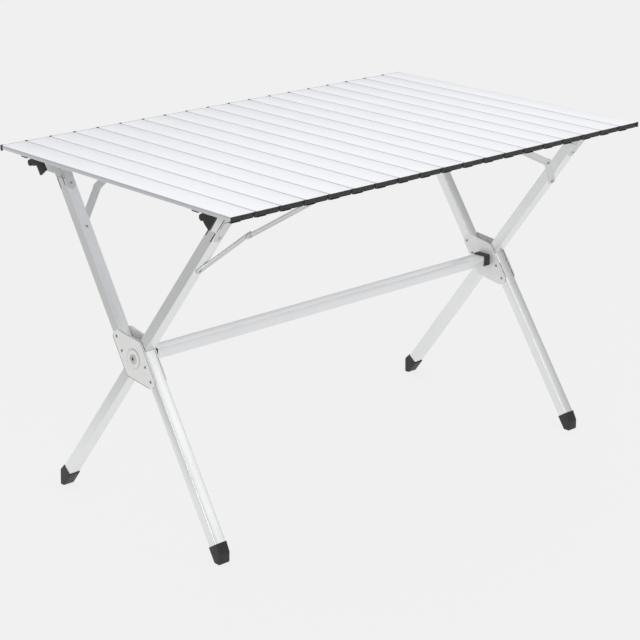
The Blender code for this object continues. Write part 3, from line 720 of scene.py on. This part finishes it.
def foot_shape(leg, across, outward, rim_along, toe_y):
    outer = across + outward * FOOT_SIZE / 2
    inner = across - outward * FOOT_SIZE / 2
    rim_outer = leg.point(0, -rim_along, outer)
    rim_inner = leg.point(0, -rim_along, inner)
    heel = leg.point(0, leg.along_at_height(0, inner), inner)
    toe_top = leg.point(0, leg.along_at_y(toe_y, outer), outer)
    sole = [(heel.y, 0), (toe_y, 0)]
    outline = [(rim_outer.y, rim_outer.z), (rim_inner.y, rim_inner.z), *sole, (toe_y, toe_top.z)]
    foot = prism(outline, FOOT_SIZE)
    way_up = Vector((leg.along.y, leg.along.z, 0))
    rim = max(foot.faces, key=lambda face: face.normal.dot(way_up))
    bmesh.ops.inset_region(foot, faces=[rim], thickness=RIM_WALL, use_even_offset=True)
    bmesh.ops.inset_region(foot, faces=[rim], thickness=RIM_CHAMFER, depth=-RIM_CHAMFER, use_even_offset=True)
    pull_face(foot, rim, -way_up * SOCKET_DEEP)
    bmesh.ops.delete(foot, geom=[rim], context="FACES_ONLY")
    outside = []
    for edge in sharp_edges(foot, 20):
        middle = (edge.verts[0].co + edge.verts[1].co) / 2
        below_rim = (middle - Vector((rim_inner.y, rim_inner.z, 0))).dot(way_up) < -0.5 * MM
        on_rim = any(abs(face.normal.dot(way_up)) >= 0.999 for face in edge.link_faces)
        if below_rim and not on_rim and is_outer_edge(edge, leg, outer, inner):
            outside.append(edge)
    bevel(foot, outside, FOOT_ROUND, FOOT_ROUND_STEPS)
    return foot

# %% Make the feet
for side, word in SIDES:
    for name, leg, across, outward, rim_along, toe_y in (
            (f"foot_front_{word}", SPLIT_LEG, -SPLIT_OFFSET, -1, FRONT_RIM, FRONT_TOE_Y),
            (f"foot_rear_{word}", LONG_LEG, 0, 1, REAR_RIM, REAR_TOE_Y)):
        foot = foot_shape(leg, across, outward, rim_along, toe_y)
        put(foot, along_x(side * LEG_X))
        finish_piece(f"moulded_{name}", foot, [BLACK_NYLON], [name], smooth=50, side=side)
print("feet", round(FOOT_SIZE / MM, 1), "mm square")

# %% [markdown]
# Hinge plates
#
# The two plates at each crossing are stamped: six corners, each rounded by its own radius. A bevel on
# an upright edge rounds a corner when its width is the tangent length, radius over the tangent of
# half the corner's angle. An inset marks a narrow border along a plate's sides; on the outer plate it is
# painted grey as the shadow along its edges. The pressed ring, the bolt and the blind rivets are turned
# from profiles of (radius, height) in millimetres.

# %% Profiles of the plates, bolts and rivets
PLATE_THICK, PLATE_GAP = 2.5 * MM, 0.7 * MM
PLATE_HALF = (((0.067, 0.039), 11 * MM), ((0.067, 0.015), 5 * MM), ((0.021, -0.040), 14 * MM))
PLATE_CORNER_STEPS = 8
PLATE_RIVETS = (0.0262, 0.0565)
PLATE_EDGE, PLATE_BORDER = 0.4 * MM, 1.1 * MM
INNER_TRIM = 3.0 * MM
BOLT_RADIUS, BOLT_LONG, BOLT_SUNK = 4 * MM, 36 * MM, 0.5 * MM
SMALL_TURN, RIVET_TURN = 24, 20
RING = [(0, 0.35), (8.6, 0.35), (9.4, 0.55), (10.4, 0.95), (12.0, 1.1), (16.5, 1.1), (18.2, 0.95),
        (19.4, 0.5), (20.4, 0.1), (21.0, -0.4), (0, -0.4)]
BOLT = [(0, 1.5), (2.4, 1.5), (2.7, 2.5), (5.2, 2.45), (6.6, 2.1), (7.3, 1.3), (7.4, 0.3), (0, 0.3)]
BOLT_CORE = [(0, 1.8), (1.6, 1.8), (2.3, 1.65), (2.3, 1.3), (0, 1.3)]
RIVET = [(1.9, 0.75), (2.4, 0.95), (3.0, 0.75), (3.4, 0.25), (3.5, -0.1), (1.9, -0.1)]
RIVET_CORE = [(0, 0.45), (1.2, 0.5), (1.95, 0.35), (1.95, -0.1), (0, -0.1)]
# Places in a riveted piece's list of finishes.
BODY, FLANGE, CORE = 0, 1, 2
EDGE_SHADE, RING_SLOPE = 3, 4


def in_mm(profile):
    return [(radius * MM, height * MM) for radius, height in profile]


def rivet_shape():
    """A blind rivet's head: a rolled flange round a core."""
    flange, core = (turn(in_mm(profile), RIVET_TURN) for profile in (RIVET, RIVET_CORE))
    return gather(paint(flange, FLANGE), paint(core, CORE))

# %% One plate
def plate_shape(trimmed, edge_shade_paint):
    """A plate in XY: X is across the leg, Y along it. A narrow border on its sides can be painted as edge shade.
    """
    half = [((across - math.copysign(trimmed, across), along), radius)
            for (along, across), radius in PLATE_HALF]
    corners = half + [((-u, -v), radius) for (u, v), radius in half]
    plate = prism([corner for corner, radius in corners], PLATE_THICK)
    for index, (corner, radius) in enumerate(corners):
        here = Vector(corner)
        before = (Vector(corners[index - 1][0]) - here).normalized()
        after = (Vector(corners[(index + 1) % len(corners)][0]) - here).normalized()
        tangent = radius / math.tan(before.angle(after) / 2)
        upright = [edge for edge in edges_along(plate, AXIS_Z)
                   if (edge.verts[0].co.xy - here).length < 0.01 * MM]
        bevel(plate, upright, tangent, PLATE_CORNER_STEPS)
    bevel(plate, sharp_edges(plate, 60), PLATE_EDGE, 2)
    flat = [face for face in plate.faces if abs(face.normal.z) > 0.999]
    inset = bmesh.ops.inset_individual(plate, faces=flat, thickness=PLATE_BORDER, use_even_offset=True)
    # The side strips of this border take the paint given: painted edge shade on the outer plate.
    half_long = PLATE_HALF[0][0][0]
    for face in inset["faces"]:
        if abs(face.calc_center_median().y) < half_long - 3 * MM:
            face.material_index = edge_shade_paint
    return plate


def outward_matrix(side, place):
    """Z points outwards along X at one end of the table."""
    if side > 0:
        return along_x(*place)
    return axes_matrix(AXIS_Z, AXIS_Y, -AXIS_X, place)

# %% Make the plates and bolts
for side, word in SIDES:
    for layer, sign in (("outer", 1), ("inner", -1)):
        x = LEG_X + sign * (TUBE_X / 2 + PLATE_GAP + PLATE_THICK / 2)
        face_x = x + sign * PLATE_THICK / 2
        plate = plate_shape(0, EDGE_SHADE) if sign > 0 else plate_shape(INNER_TRIM, BODY)
        put(plate, axes_matrix(SPLIT_LEG.across, SPLIT_LEG.along, AXIS_X, PIVOT + AXIS_X * side * x))
        parts = [plate]
        for end in (1, -1):
            for along in PLATE_RIVETS:
                place = SPLIT_LEG.point(side * face_x, end * along, end * SPLIT_OFFSET)
                parts.append(put(rivet_shape(), outward_matrix(side * sign, place)))
        if layer == "outer":
            ring = turn(in_mm(RING))
            for face in ring.faces:
                face.material_index = BODY if face.normal.z > 0.99 else RING_SLOPE
            parts.append(put(ring, outward_matrix(side, PIVOT + AXIS_X * side * face_x)))
        # The rivet cores on the plates take the painted shade of their holes.
        finishes = [PLATE_METAL, STEEL, HOLE_SHADE_STEEL, EDGE_SHADE_METAL, SHEET_METAL]
        finish_piece(f"stamped_plate_{layer}_{word}", gather(*parts), finishes,
                     [f"hinge_plate_{layer}_{word}"], side=side)
    head_x = LEG_X + TUBE_X / 2 + PLATE_GAP + PLATE_THICK
    head_place = PIVOT + AXIS_X * side * head_x
    top, end = head_x + BOLT_SUNK, head_x - BOLT_LONG
    head = put(turn(in_mm(BOLT)), outward_matrix(side, head_place))
    shank = put(turn([(0, top), (BOLT_RADIUS, top), (BOLT_RADIUS, end), (0, end)], SMALL_TURN),
                outward_matrix(side, PIVOT))
    # A dark disc down in the bolt's socket is painted shade.
    core = put(turn(in_mm(BOLT_CORE), SMALL_TURN), outward_matrix(side, head_place))
    bolt = gather(head, shank, paint(core, 1))
    finish_piece(f"turned_bolt_{word}", bolt, [STEEL, HOLE_SHADE_STEEL], [f"pivot_bolt_{word}"], side=side)
print("hinge plates", 4, "with", 2 * len(PLATE_RIVETS), "rivets each")

# %% [markdown]
# Leg-top brackets
#
# A bracket joins the leg to its rail. Its hollow block continues the leg, and the leg's two slots, up
# to the slats. A black block inside has two ribs that fill the slots nearly to the face, as painted
# shade for the dark inside of each slot. Two thin cheeks reach down over the tube, each with a round end
# and a rivet. A front bracket also has a pale plate on its outer side, with its front rim painted dark as
# a shadow line, and a rear one a short arm that reaches back under the slats.

# %% A bracket's cheek and outer plate
BLOCK_EDGE, BLOCK_WALL = 0.9 * MM, 1.2 * MM
CHEEK_THICK, CHEEK_HALF, CHEEK_UP = 0.8 * MM, 9.6 * MM, 12 * MM
CHEEK_TIP = 0.3575
CHEEK_RIVET = 0.3695
CHEEK_ARC_STEPS = 16
LIP_THICK, LIP_INSET = 2.5 * MM, 1.0 * MM
LIP_UNDER = 0.640
RIB_SUNK = 0.3 * MM
STUB_WIDE = 8 * MM
STUB_UNDER = 0.652
STUB_FRONT, STUB_REAR = 0.2485, 0.284
LAID_ON = 0.1 * MM
LIP_FACE, LIP_RIM_SHADE, SLOT_SHADE = 3, 4, 5


def cheek_shape(top):
    """A cheek in XY, Y up the leg: straight sides and a round lower end."""
    low = CHEEK_TIP + CHEEK_HALF
    outline = [(CHEEK_HALF, top), (-CHEEK_HALF, top)]
    for step in range(CHEEK_ARC_STEPS + 1):
        turn_by = math.pi + math.pi * step / CHEEK_ARC_STEPS
        outline.append((CHEEK_HALF * math.cos(turn_by), low + CHEEK_HALF * math.sin(turn_by)))
    cheek = prism(outline, CHEEK_THICK)
    bevel(cheek, sharp_edges(cheek, 60), 0.25 * MM, 2)
    return cheek


def lip_shape(leg, side, across):
    """The plate on a front block's outer side, which hangs over the tube. Its front rim is painted dark as the
    shadow line beside the block's front.
    """
    outline = leg_slice(leg, across, LIP_UNDER, RAIL_TOP, TUBE_ACROSS / 2 - LIP_INSET)
    lip = prism(outline, LIP_THICK - 2 * LAID_ON)
    bevel(lip, sharp_edges(lip, 30), PLATE_EDGE, 2)
    # Faces that look to the front get the painted shadow line, the rest the pale plate.
    for face in lip.faces:
        face.material_index = LIP_RIM_SHADE if face.normal.x < -0.5 else LIP_FACE
    return put(lip, along_x(side * (LEG_X + TUBE_X / 2 + LAID_ON + LIP_THICK / 2)))

# %% A bracket's block, dark slot ribs and short arm
def block_shape(leg, side, across):
    """A hollow block that carries the tube on up to the slats, with the tube's two slots running into it."""
    block = prism(leg_slice(leg, across, BRACKET_UNDER, RAIL_TOP), TUBE_X)
    bevel(block, sharp_edges(block, 30), BLOCK_EDGE)
    put(block, along_x(side * LEG_X))
    place = leg.matrix(side * LEG_X, across)
    put(block, place.inverted())
    cut_slots(block, leg, side)
    give_wall(block, BLOCK_WALL)
    return put(block, place)


def slot_shade_ribs(leg, side, across):
    """A black block inside the tube's end, with a rib in each slot that is painted shade for the slot's dark
    inside.
    """
    inside = TUBE_WALL + PLUG_FIT
    start, end = SLOT_LOW[leg], SLOT_LOW[leg] + SLOT_LONG
    half_x, half_y = TUBE_X / 2 - inside, TUBE_ACROSS / 2 - inside
    parts = [rounded_box((-half_x, -half_y, start - 2 * MM), (half_x, half_y, end + 2 * MM), 0.4 * MM)]
    x_low, x_high = sorted((side * (TUBE_X / 2 - RIB_SUNK), side * (half_x - MM)))
    for y_side in (-1, 1):
        y_low, y_high = slot_ends(y_side)
        rib_low = (x_low, y_low + 0.05 * MM, start + RIB_SUNK)
        rib_high = (x_high, y_high - 0.05 * MM, end - RIB_SUNK)
        parts.append(rounded_box(rib_low, rib_high, 0.2 * MM))
    return put(gather(*parts), leg.matrix(side * LEG_X, across))


def stub_shape(side):
    """The short arm that reaches back from a rear block, along the slats."""
    outline = [(STUB_FRONT, STUB_UNDER), (STUB_REAR, STUB_UNDER),
               (STUB_REAR, RAIL_TOP), (STUB_FRONT, RAIL_TOP)]
    stub = prism(outline, STUB_WIDE)
    bevel(stub, sharp_edges(stub, 30), BLOCK_EDGE)
    return put(stub, along_x(side * (LEG_X + TUBE_X / 2 - STUB_WIDE / 2 - MM)))

# %% Make the brackets
def bracket_shape(leg, side, across, has_lip):
    own = lip_shape(leg, side, across) if has_lip else paint(stub_shape(side), BODY)
    # The black ribs in the slots are painted shade for the slots' dark inside.
    parts = [paint(block_shape(leg, side, across), BODY), paint(slot_shade_ribs(leg, side, across), SLOT_SHADE), own]
    for facing in (-1, 1):
        offset = across + facing * (TUBE_ACROSS / 2 + LAID_ON + CHEEK_THICK / 2)
        cheek = paint(cheek_shape(leg.along_at_height(BRACKET_UNDER + CHEEK_UP, offset)), BODY)
        parts.append(put(cheek, leg.face_matrix(-1, leg.point(side * LEG_X, 0, offset))))
        place = leg.point(side * LEG_X, CHEEK_RIVET, offset + facing * CHEEK_THICK / 2)
        parts.append(put(rivet_shape(), leg.face_matrix(facing, place)))
    return gather(*parts)


for side, word in SIDES:
    for end, leg, across in (("front", LONG_LEG, 0), ("rear", SPLIT_LEG, SPLIT_OFFSET)):
        name = f"bracket_{end}_{word}"
        finishes = [SHEET_METAL, STEEL, BRIGHT_CORE, PLATE_METAL, EDGE_SHADE_METAL, BLACK_NYLON]
        finish_piece(f"{name}_cheeks", bracket_shape(leg, side, across, end == "front"), finishes,
                     [name], side=side)
print("brackets", 4, "with blocks", round((RAIL_TOP - BRACKET_UNDER) / MM, 1), "mm high")

# %% [markdown]
# Side stays
#
# Each stay is two flat links. The lower one is riveted to the leg, the upper one to the rail, and they
# meet at a rivet between them. A shallow pressed channel runs along each link and stiffens it. A pin's
# place is its distance from the middle of the table and its distance up the leg.

# %% One link
STAY_LOWER_PIN = (LEG_X, 0.278)
STAY_KNEE = (0.416, 0.359)
STAY_UPPER_PIN = (0.285, 0.428)
LINK_WIDE, LINK_THICK, LINK_GAP = 15.5 * MM, 3 * MM, 0.3 * MM
LINK_ARC_STEPS = 12
CHANNEL_RIM, CHANNEL_SLOPE, CHANNEL_DEEP = 3 * MM, 0.8 * MM, 0.9 * MM
BOSS_RADIUS = 5 * MM


def link_shape(first, last):
    """A link between two pins in XY, with round ends and a pressed channel on its upper side."""
    way = Vector(last) - Vector(first)
    heading = math.atan2(way.y, way.x)
    radius = LINK_WIDE / 2
    outline = []
    for centre, start in ((last, heading - math.pi / 2), (first, heading + math.pi / 2)):
        for step in range(LINK_ARC_STEPS + 1):
            angle = start + math.pi * step / LINK_ARC_STEPS
            outline.append((centre[0] + radius * math.cos(angle), centre[1] + radius * math.sin(angle)))
    link = prism(outline, LINK_THICK)
    top = max(link.faces, key=lambda face: face.calc_center_median().z)
    bmesh.ops.inset_region(link, faces=[top], thickness=CHANNEL_RIM, use_even_offset=True)
    bmesh.ops.inset_region(link, faces=[top], thickness=CHANNEL_SLOPE, depth=-CHANNEL_DEEP,
                           use_even_offset=True)
    bevel(link, sharp_edges(link, 60), PLATE_EDGE, 2)
    return link

# %% Make the stays
def make_stay(word, leg, side, across, facing):
    """The two links and their rivets. facing is the side of the leg that they lie on, 1 for the rear."""
    pins = [(side * x, along) for x, along in (STAY_LOWER_PIN, STAY_KNEE, STAY_UPPER_PIN)]
    face = TUBE_ACROSS / 2 + LINK_GAP
    lower_top = face + LINK_THICK
    upper_under = lower_top + LINK_GAP
    upper_top = upper_under + LINK_THICK

    def frame_at(pin, height):
        """Z points away from the leg, at a pin and a height over the leg's middle plane."""
        return leg.face_matrix(facing, leg.point(pin[0], pin[1], across + facing * height))

    def link_at(first, last, under):
        """A link drawn flat from pin to pin, laid at a height over the leg's middle plane."""
        flat = [(-facing * x, along) for x, along in (first, last)]
        return put(paint(link_shape(*flat), BODY), frame_at((0, 0), under + LINK_THICK / 2))

    def rivet_at(pin, height):
        return put(rivet_shape(), frame_at(pin, height))

    back = leg.point(pins[0][0], pins[0][1], across - facing * TUBE_ACROSS / 2)
    back_rivet = put(rivet_shape(), leg.face_matrix(-facing, back))
    boss = turn([(0, upper_under), (BOSS_RADIUS, upper_under), (BOSS_RADIUS, face), (0, face)], SMALL_TURN)
    lower = gather(link_at(pins[0], pins[1], face), rivet_at(pins[0], lower_top), back_rivet)
    upper = gather(link_at(pins[1], pins[2], upper_under), put(paint(boss, BODY), frame_at(pins[2], 0)),
                   rivet_at(pins[1], upper_top), rivet_at(pins[2], upper_top))
    for node, shape in ((f"stay_lower_{word}", lower), (f"stay_upper_{word}", upper)):
        finish_piece(f"{node}_link", shape, [SHEET_METAL, STEEL, BRIGHT_CORE],
                     [node], side=side)


for side, word in SIDES:
    make_stay(f"front_{word}", LONG_LEG, side, 0, -1)
    make_stay(f"rear_{word}", SPLIT_LEG, side, SPLIT_OFFSET, 1)
print("stay links", round(LINK_WIDE / MM, 1), "mm wide")

# %% [markdown]
# Latches
#
# Two moulded levers under the left end slat hold the leg frames. Each turns on a pin in its base, at
# the round knob, and its hook hangs beside the leg-top block. A lever's corners are millimetres from
# the pin, towards the rear and up.

# %% One lever
KNOB_RADIUS, KNOB_ROOM = 6.5 * MM, 8.5 * MM
KNOB_ARC_STEPS, KNOB_TURN = 14, 32
FRONT_LEVER = ((-4.5, 9.5), (-38.3, 9.5), (-38.3, 5.5), (-20.1, -20.2), (-8.6, -10.4))
REAR_LEVER = ((-4.5, 9.5), (-43.8, 8.4), (-52.6, -4.9), (-34.6, -18.7), (-23.0, -1.3))
LEVER_THICK, LEVER_GAP, LEVER_EDGE = 6 * MM, 0.3 * MM, 0.7 * MM
BASE_EDGE = 0.9 * MM
TAB_THICK, TAB_EDGE = 3.7 * MM, 0.6 * MM
KNOB = [(0, 0.2), (1.4, 0.2), (2.0, 0.9), (4.6, 0.9), (5.6, 0.4), (6.2, -0.2), (6.2, -1.5), (0, -1.5)]


def lever_shape(corners, thick):
    """A lever in XY about its pin: the round knob runs into the arm and its hook."""
    start = math.atan2(corners[-1][1], corners[-1][0])
    last = math.atan2(corners[0][1], corners[0][0])
    sweep = (last - start) % (2 * math.pi)
    outline = []
    for step in range(KNOB_ARC_STEPS + 1):
        angle = start + sweep * step / KNOB_ARC_STEPS
        outline.append((KNOB_RADIUS * math.cos(angle), KNOB_RADIUS * math.sin(angle)))
    lever = prism(outline + in_mm(corners), thick)
    bevel(lever, sharp_edges(lever, 60), LEVER_EDGE, 3)
    return lever

# %% Make the latches
for word, corners in (("front", FRONT_LEVER), ("rear", REAR_LEVER)):
    joint = next(item for item in frame["joints"] if item["name"] == f"{word}_latch")
    pin = Vector(joint["pos_m"])
    low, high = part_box(f"{word}_latch_lever")
    lever = lever_shape(corners, high.x - low.x - 0.4 * MM)
    put(lever, along_x((low.x + high.x) / 2, pin.y, pin.z))
    knob = put(turn(in_mm(KNOB), KNOB_TURN), outward_matrix(-1, Vector((low.x + MM, pin.y, pin.z))))
    finish_piece(f"moulded_{word}_lever", gather(lever, knob), [LATCH_NYLON],
                 [f"{word}_latch_lever"])
    low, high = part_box(f"{word}_latch_base")
    body = rounded_box((low.x + LEVER_THICK + LEVER_GAP, low.y, low.z),
                       (high.x, pin.y + KNOB_RADIUS, high.z), BASE_EDGE)
    tab = rounded_box((low.x, pin.y + KNOB_ROOM, high.z - TAB_THICK), high, TAB_EDGE)
    finish_piece(f"moulded_{word}_latch_base", gather(body, tab), [LATCH_NYLON],
                 [f"{word}_latch_base"])
    print(word, "latch pin at", [round(value, 4) for value in pin])

# %% [markdown]
# The floor
#
# A large pale floor carries a soft shadow. Its colour has to look the same far away as close by, so to
# the camera and in reflections nine tenths of it is an even glow of that colour, and one tenth is a
# matt surface that takes the light and the shadow. Light Path says which kind of ray asks.

# %% Floor
BACKGROUND = "F3F3F3"
FLOOR_SIZE = 40.0
SHADOW_SHARE = 0.10
MIRRORED_LIFT = -0.02  # the glow that the metal mirrors is this much weaker


def bare_material(name):
    """A material without the usual shader, for a floor or a card that glows."""
    material = bpy.data.materials.new(name)
    material.use_nodes = True
    material.node_tree.nodes.clear()
    return material, material.node_tree


floor_material, tree = bare_material("pale_floor")
paths = add(tree, "ShaderNodeLightPath").outputs
matt = add(tree, "ShaderNodeBsdfDiffuse", {"Color": linear(BACKGROUND)})
lift = add(tree, "ShaderNodeMath", {0: paths["Is Glossy Ray"], 1: MIRRORED_LIFT, 2: 1.0},
           operation="MULTIPLY_ADD")
even = add(tree, "ShaderNodeEmission", {"Color": linear(BACKGROUND), "Strength": lift.outputs["Value"]})
seen = add(tree, "ShaderNodeMath", {0: paths["Is Camera Ray"], 1: paths["Is Glossy Ray"]},
           operation="MAXIMUM")
share = add(tree, "ShaderNodeMath", {0: seen.outputs["Value"], 1: 1 - SHADOW_SHARE}, operation="MULTIPLY")
mixed = add(tree, "ShaderNodeMixShader", {
    0: share.outputs["Value"], 1: matt.outputs["BSDF"], 2: even.outputs["Emission"],
})
add(tree, "ShaderNodeOutputMaterial", {"Surface": mixed.outputs["Shader"]})

floor_shape = bmesh.new()
bmesh.ops.create_grid(floor_shape, x_segments=1, y_segments=1, size=FLOOR_SIZE / 2)
mesh_object("floor", floor_shape, [floor_material])
print("floor", FLOOR_SIZE, "m square")

# %% [markdown]
# The light
#
# Metal shows what stands round it, so the room matters as much as the lamps. The world is a pale tent
# of cloth: brighter behind the right end, which the top mirrors, and darker to the front right, which
# the split legs' sloping front sides mirror. The camera itself sees the plain background instead. A
# square softbox lights the top and the front, and a low one on the left fills the near frame. Upright
# cards, which only reflections can see, set the tones of the tubes' sides.

# %% World
WORLD_PLAIN, WORLD_BRIGHT = 0.74, 1.20
BRIGHT_WAY = Vector((0.63, 0.72, 0.29)).normalized()
BRIGHT_FROM = 0.35
SHADED_LEVEL = 0.50
SHADED_WAY = Vector((0.72, -0.52, 0.46)).normalized()
SHADED_FROM, SHADED_FULL = 0.40, 0.85

world = bpy.data.worlds.new("white_tent")
bpy.context.scene.world = world
world.use_nodes = True
tree = world.node_tree
way = add(tree, "ShaderNodeTexCoord").outputs["Generated"]


def level_towards(direction, start, full, start_level, full_level):
    """A light level that changes as the ray comes nearer to a direction, given by its cosine."""
    facing = add(tree, "ShaderNodeVectorMath", {0: way, 1: direction}, operation="DOT_PRODUCT")
    return add(tree, "ShaderNodeMapRange", {
        "Value": facing.outputs["Value"], "From Min": start, "From Max": full,
        "To Min": start_level, "To Max": full_level,
    }).outputs["Result"]


bright = level_towards(BRIGHT_WAY, BRIGHT_FROM, 1.0, WORLD_PLAIN, WORLD_BRIGHT)
shaded = level_towards(SHADED_WAY, SHADED_FROM, SHADED_FULL, 1.0, SHADED_LEVEL)
level = add(tree, "ShaderNodeMath", {0: bright, 1: shaded}, operation="MULTIPLY")
glow = add(tree, "ShaderNodeBackground", {"Color": linear("FFFFFF"), "Strength": level.outputs["Value"]})
plain = add(tree, "ShaderNodeBackground", {"Color": linear(BACKGROUND), "Strength": 1.0})
direct = add(tree, "ShaderNodeLightPath").outputs["Is Camera Ray"]
shown = add(tree, "ShaderNodeMixShader", {
    0: direct, 1: glow.outputs["Background"], 2: plain.outputs["Background"],
})
tree.links.new(shown.outputs["Shader"], tree.nodes["World Output"].inputs["Surface"])
print("world level", WORLD_PLAIN, "to", WORLD_BRIGHT)

# %% Softboxes and cards
SOFTBOXES = (
    ("front_softbox", 1.3, 0.98, Vector((0.75, -1.6, 1.45)), Vector((-0.45, -0.1, 0.25))),
    ("left_fill", 1.0, 3.0, Vector((-2.6, -0.9, 0.9)), PIVOT - AXIS_X * LEG_X),
)
CARDS = (
    ("left_card", (-0.86, -0.12, 0.17), (-0.85, 1.00, 0.90), 0.50),
    ("low_left_card", (-0.86, -0.12, 0.01), (-0.85, 1.00, 0.17), 0.61),
    ("rear_card", (-0.60, 1.30, 0.30), (2.60, 1.31, 1.06), 0.54),
    ("right_card", (1.75, -1.61, 0.90), (3.30, -1.60, 1.70), 0.85),
)


def add_softbox(name, size, level, place, target):
    """A square lamp that faces a target. Its power grows with its area, so the level is its brightness."""
    data = bpy.data.lights.new(name, "AREA")
    data.shape = "SQUARE"
    data.size = size
    data.energy = level * math.pi * size ** 2
    softbox = new_object(name, data)
    softbox.location = place
    softbox.rotation_euler = (place - target).to_track_quat("Z", "Y").to_euler()
    softbox.visible_camera = False


def add_card(name, low, high, level):
    """An upright card with an even glow, which shows only in the metal's reflections."""
    material, tree = bare_material(name)
    glow = add(tree, "ShaderNodeEmission", {"Color": linear("FFFFFF"), "Strength": level})
    add(tree, "ShaderNodeOutputMaterial", {"Surface": glow.outputs["Emission"]})
    card = mesh_object(name, box_shape(low, high), [material])
    card.visible_camera = False
    card.visible_diffuse = False
    card.visible_shadow = False


for softbox in SOFTBOXES:
    add_softbox(*softbox)
for card in CARDS:
    add_card(*card)
print("softboxes", len(SOFTBOXES), "cards", len(CARDS))

# %% [markdown]
# The camera
#
# The camera stands where the photograph's did. Its place, turn and lens were fitted to the corners of
# the table, seams, feet and pivots, as seen in the photograph. Azimuth and elevation give the way
# from the table back to the camera, and a small roll tilts the picture as the photograph is tilted.

# %% Camera
CAMERA_PLACE = Vector((-2.5454, -2.7452, 1.5764))
AZIMUTH = math.radians(-42.608)
ELEVATION = math.radians(18.792)
ROLL = math.radians(0.270)
LENS, SENSOR = 106.788, 36

flat_back = Vector((math.sin(AZIMUTH), -math.cos(AZIMUTH), 0))
back = flat_back * math.cos(ELEVATION) + AXIS_Z * math.sin(ELEVATION)
level_right = AXIS_Z.cross(back).normalized()
level_up = back.cross(level_right)
right = math.cos(ROLL) * level_right + math.sin(ROLL) * level_up
up = -math.sin(ROLL) * level_right + math.cos(ROLL) * level_up
camera_data = bpy.data.cameras.new("camera")
camera_data.lens = LENS
camera_data.sensor_width = SENSOR
camera = new_object("camera", camera_data)
camera.matrix_world = axes_matrix(right, up, back, CAMERA_PLACE)
bpy.context.scene.camera = camera
bpy.context.scene.view_settings.view_transform = "Standard"
print("camera", round((CAMERA_PLACE - PIVOT).length, 2), "m from the middle of the table")
